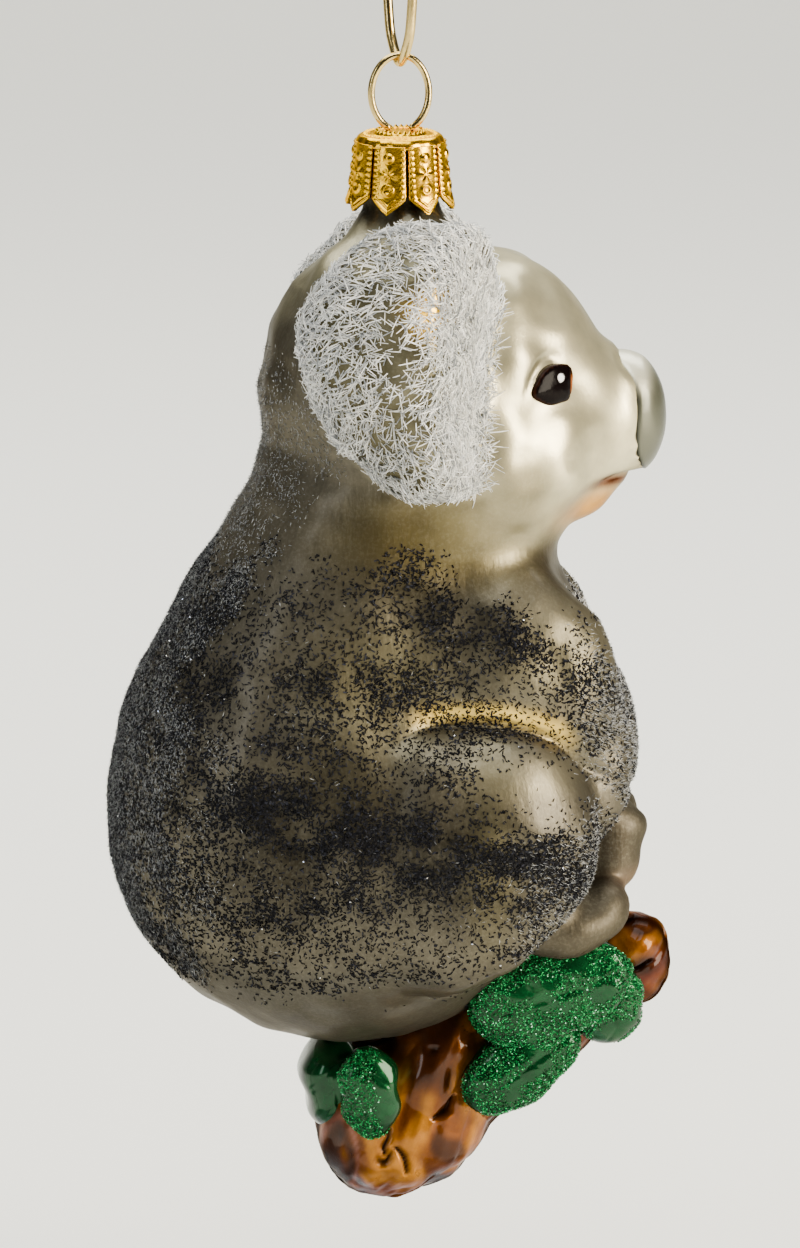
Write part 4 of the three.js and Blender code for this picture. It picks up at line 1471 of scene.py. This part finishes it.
# Where the coat begins and where it is full: heights, places along x or y, or how the glass faces.
coatEdges = {
    "shoulders": (77, 70),
    "rump": (21, 27),
    "hands": (1.2, 3.0),
    "under": (-0.75, -0.45),
    "backFacing": (-0.55, -0.95),
    "backFront": (5, -12),
    "napeLow": (64, 80),
    "napeHigh": (100, 84),
    "napeFacing": (-0.5, -0.9),
    "bellyRear": (16, 22),
    "bellyLow": (44, 50),
    "bellyHigh": (76, 68),
    "thighRear": (8, 15),
    "thighLow": (26, 32),
    "thighHigh": (50, 42),
    "outside": (-14, -18),
    "patches": (0.1, 0.7),
    "besideCrease": (0.4, 1.2),
}


def bodyDensities(near, normals):
    # Where the flock and the glitter lie. Both keep off the face, the hands and the seat; the grey
    # flock gathers on the back, the belly's front edge and the thigh's front, the black in patches.
    x, y, z = np.moveaxis(near, -1, 0)
    waver = ripple(near, 8, 71)
    edges = coatEdges
    facing = normals[..., 0]
    outside = fade(edges, "outside", y)
    body = fade(edges, "shoulders", z + 3 * waver + 0.35 * np.maximum(x, 0))
    body = body * fade(edges, "rump", z + 1.5 * waver)
    body = body * fade(edges, "hands", limbDistanceOf(near, "hand", "foot"))
    body = body * fade(edges, "under", normals[..., 2])
    back = fade(edges, "backFacing", facing + 0.15 * waver) * fade(edges, "backFront", x)
    nape = fade(edges, "napeLow", z) * fade(edges, "napeFacing", facing) * fade(edges, "napeHigh", z)
    front = fade(edges, "bellyRear", x) * fade(edges, "bellyLow", z) * fade(edges, "bellyHigh", z)
    thighFront = fade(edges, "thighRear", x) * fade(edges, "thighHigh", z) * fade(edges, "thighLow", z)
    thighFront = thighFront * outside
    band = np.exp(-((x - 14) / 9) ** 4 - ((z - 50.5) / 4.2) ** 4) * outside
    dark = clusterShare(near)
    patch = fade(edges, "patches", ripple(near, 10, 73) + 0.45 * ripple(near, 4, 74))
    fromCrease = np.abs(z - 53.2 + 0.05 * (x - 12) ** 2) + 3 * smoothStep(8, 0, x)
    clear = (1 - 0.92 * band) * fade(edges, "besideCrease", fromCrease)
    black = body * clear * (0.15 + 0.3 * patch + 1.05 * dark + 0.4 * back)
    grey = body * clear * (0.004 + 0.02 * patch + 1.5 * back + 0.8 * front + 0.6 * thighFront)
    return black, grey + 0.7 * nape


blackGlitter = {"count": 69000, "pieces": 3, "length": (0.22, 0.45), "width": 0.085,
                "tones": ["#07070b", "#0d0e15", "#040406", "#24262f"], "shares": [0.4, 0.3, 0.2, 0.1]}
greyFlock = {"count": 70000, "pieces": 2, "length": (0.3, 0.8), "width": 0.035, "foot": 1.3,
             "tones": ["#9a9c9c", "#777a7d", "#bfc1c1", "#3a3c41"], "shares": [0.4, 0.3, 0.15, 0.15]}
sparks = {"count": 260, "width": 0.09, "length": 0.16, "tones": ["#ffffff", "#dfe8ff"],
          "shares": [0.7, 0.3]}
earFur = {"count": 11000, "length": (0.8, 2.3), "width": 0.064,
          "tones": ["#e8e7e2", "#c4c6c5", "#8d9194", "#fdfdfb"], "shares": [0.4, 0.28, 0.14, 0.18]}


def spread(limits, count, random, power=1.0):
    return limits[0] + (limits[1] - limits[0]) * random.uniform(0, 1, count) ** power


def bodyCoat():
    random = np.random.default_rng(11)
    black, grey = bodyDensities(nearSkin, skinNormals)
    for part in range(blackGlitter["pieces"]):
        count = blackGlitter["count"] // blackGlitter["pieces"]
        roots, normals, around, spots = scatter(skin, skinNormals, black, count, random)
        ways = turnAbout(around, normals, random.uniform(0, 6.3, count))
        lengths = spread(blackGlitter["length"], count, random)
        lines = layLines(roots, normals, ways, lengths, random.uniform(0.02, 0.3, count), 2, -0.02)
        widths = np.repeat(random.uniform(0.6, 1.25, (count, 1)) * blackGlitter["width"], 2, 1)
        colours = mixColours(blackGlitter["tones"], blackGlitter["shares"], count, random)
        coatPiece(f"black_glitter_{part + 1}", lines, widths, 1.0, 3, spots, colours,
                  coatFinish(f"black_glitter_{part + 1}", 0.6, 0.12))

    for part in range(greyFlock["pieces"]):
        count = greyFlock["count"] // greyFlock["pieces"]
        roots, normals, around, spots = scatter(skin, skinNormals, grey, count, random)
        ways = turnAbout(around, normals, random.normal(0, 0.6, count))
        lengths = spread(greyFlock["length"], count, random)
        lines = layLines(roots, normals, ways, lengths, random.uniform(0.1, 0.9, count), 2)
        widths = np.repeat(random.uniform(0.7, 1.4, (count, 1)) * greyFlock["width"], 2, 1)
        colours = mixColours(greyFlock["tones"], greyFlock["shares"], count, random)
        coatPiece(f"grey_flock_{part + 1}", lines, widths * greyFlock["foot"], 1.0, 0, spots, colours,
                  coatFinish(f"grey_flock_{part + 1}", 0.7))

    # white flakes among the black glitter: painted glints, their white standing in for the glitter catching
    # the light
    count = sparks["count"]
    roots, normals, around, spots = scatter(skin, skinNormals, black, count, random)
    ways = turnAbout(around, normals, random.uniform(0, 6.3, count))
    lengths = np.full(count, sparks["length"])
    lines = layLines(roots, normals, ways, lengths, random.uniform(0, 0.6, count), 2, -0.1)
    widths = np.full((count, 2), sparks["width"])
    colours = mixColours(sparks["tones"], sparks["shares"], count, random)
    coatPiece("white_sparks", lines, widths, 0.4, 4, spots, colours,
              coatFinish("white_sparks", 0.2, metallic=0.9))


def earCoat(side, s):
    # Long white fibres laid over the ear: thick round the back and the rim, thin on the cheek of the
    # dome where the glass shows through, and a close pile on the flat front.
    random = np.random.default_rng(21 + s)
    x, _, z = np.moveaxis(nearSkin, -1, 0)
    inEar = smoothStep(0.9, 0.1, earDistance(skin)) * (skin[..., 1] * s > 0)
    facing = unit(np.array(koala["earPlane"]["way"])) * [1, -1, 1]
    nearNormals = skinNormals * np.where(skin[..., 1:2] < 0, 1, [1, -1, 1])
    flat = smoothStep(0.75, 0.92, nearNormals @ facing)
    window = np.exp(-(((x - 0.6) / 5.6) ** 2 + ((z - 99.5) / 9.5) ** 2) ** 1.5) * (1 - flat)
    ridge = bell(nearNormals @ facing - 0.62, 0.25)
    weight = inEar * (1.0 - 0.87 * window + 1.4 * flat + 1.2 * ridge)
    count = earFur["count"]
    roots, normals, _, spots = scatter(skin, skinNormals, weight, count, random)
    centre = np.array([2.2, s * 17.8, 98])
    radial = roots - centre
    radial = unit(radial - (radial * normals).sum(-1, keepdims=True) * normals + 1e-6)
    ways = unit(turnAbout(radial, normals, random.normal(0.9, 1.0, count)))
    lengths = spread(earFur["length"], count, random, 1.6)
    lines = layLines(roots, normals, ways, lengths, random.uniform(0.02, 0.32, count), 3, 0.02, 0.06)
    widths = np.repeat(random.uniform(0.7, 1.3, (count, 1)) * earFur["width"], 3, 1)
    widths[:, -1] *= 0.6
    colours = mixColours(earFur["tones"], earFur["shares"], count, random)
    coatPiece(f"ear_fur_{side}", lines, widths, 1.0, 3, spots, colours,
              coatFinish(f"ear_fur_{side}", 0.45))


# the palest tone among the leaf flakes is a painted glint
leafGlitter = {"count": 25000, "width": 0.11,
               "tones": ["#108040", "#0a5e2b", "#2fbd6b", "#06421d", "#b8f5d4"],
               "shares": [0.38, 0.3, 0.14, 0.15, 0.03]}
clearLeaf = {"top": [(-2.4, 1.6, 2.6, 0.8), (5.4, -1.4, 1.6, 1.1)], "front": [(3.4, -0.8, 1.5, 2.4)],
             "low": [(0.6, -0.6, 2.8, 0.8)], "rear": [(0, 2.6, 6, 2)], "tail": [(0, 0, 9, 9)]}


def leafCoat(side, s):
    # Flakes on the outer face of one side's leaves, except in their glossy windows. Each leaf has a
    # square of its own in the map.
    random = np.random.default_rng(41 + s)
    lines = []
    spotsAll = []
    cells = math.ceil(math.sqrt(len(leafGrids)))
    for number, (name, leafSide, grid) in enumerate(leafGrids):
        if leafSide != s:
            continue
        place = leafPlaces[name]
        turn = ball((0, 0, 0), (1, 1, 1), pitch=place["pitch"])["turn"]
        local = (grid - np.array(place["at"]) * [1, s, 1]) @ turn
        normals = gridNormals(grid)
        outer = smoothStep(0.0, 0.4, normals[..., 1] * s)
        weight = outer * smoothStep(1.0, 0.5, ripple(grid, 4, 83 + number) - 0.2)
        for x, z, halfX, halfZ in clearLeaf[name]:
            inside = ((local[..., 0] - x) / halfX) ** 2 + ((local[..., 2] - z) / halfZ) ** 2
            weight = weight * smoothStep(0.8, 1.25, inside + 0.25 * ripple(grid, 1.6, 91))
        area = place["size"][0] * place["size"][2]
        count = int(leafGlitter["count"] * area / 200 * min(1, weight.mean() * 2.6))
        if count < 20:
            continue
        roots, normals, around, spots = scatter(grid, normals, weight + 1e-6, count, random)
        ways = turnAbout(around, normals, random.uniform(0, 6.3, count))
        lengths = np.full(count, leafGlitter["width"] * 1.5) * random.uniform(0.7, 1.2, count)
        lines.append(layLines(roots, normals, ways, lengths, random.normal(0.1, 0.35, count), 2, -0.03))
        cell = np.array([number % cells, number // cells])
        spotsAll.append((spots * 0.96 + 0.02 + cell) / cells)
    lines = np.concatenate(lines)
    count = len(lines)
    widths = np.repeat(random.uniform(0.7, 1.2, (count, 1)) * leafGlitter["width"], 2, 1)
    colours = mixColours(leafGlitter["tones"], leafGlitter["shares"], count, random)
    coatPiece(f"leaf_glitter_{side}", lines, widths, 0.5, 3, np.concatenate(spotsAll), colours,
              coatFinish(f"leaf_glitter_{side}", 0.3, metallic=0.6))


bodyCoat()
for side, s in both.items():
    earCoat(side, s)
    leafCoat(side, s)
print("flock and glitter are on")
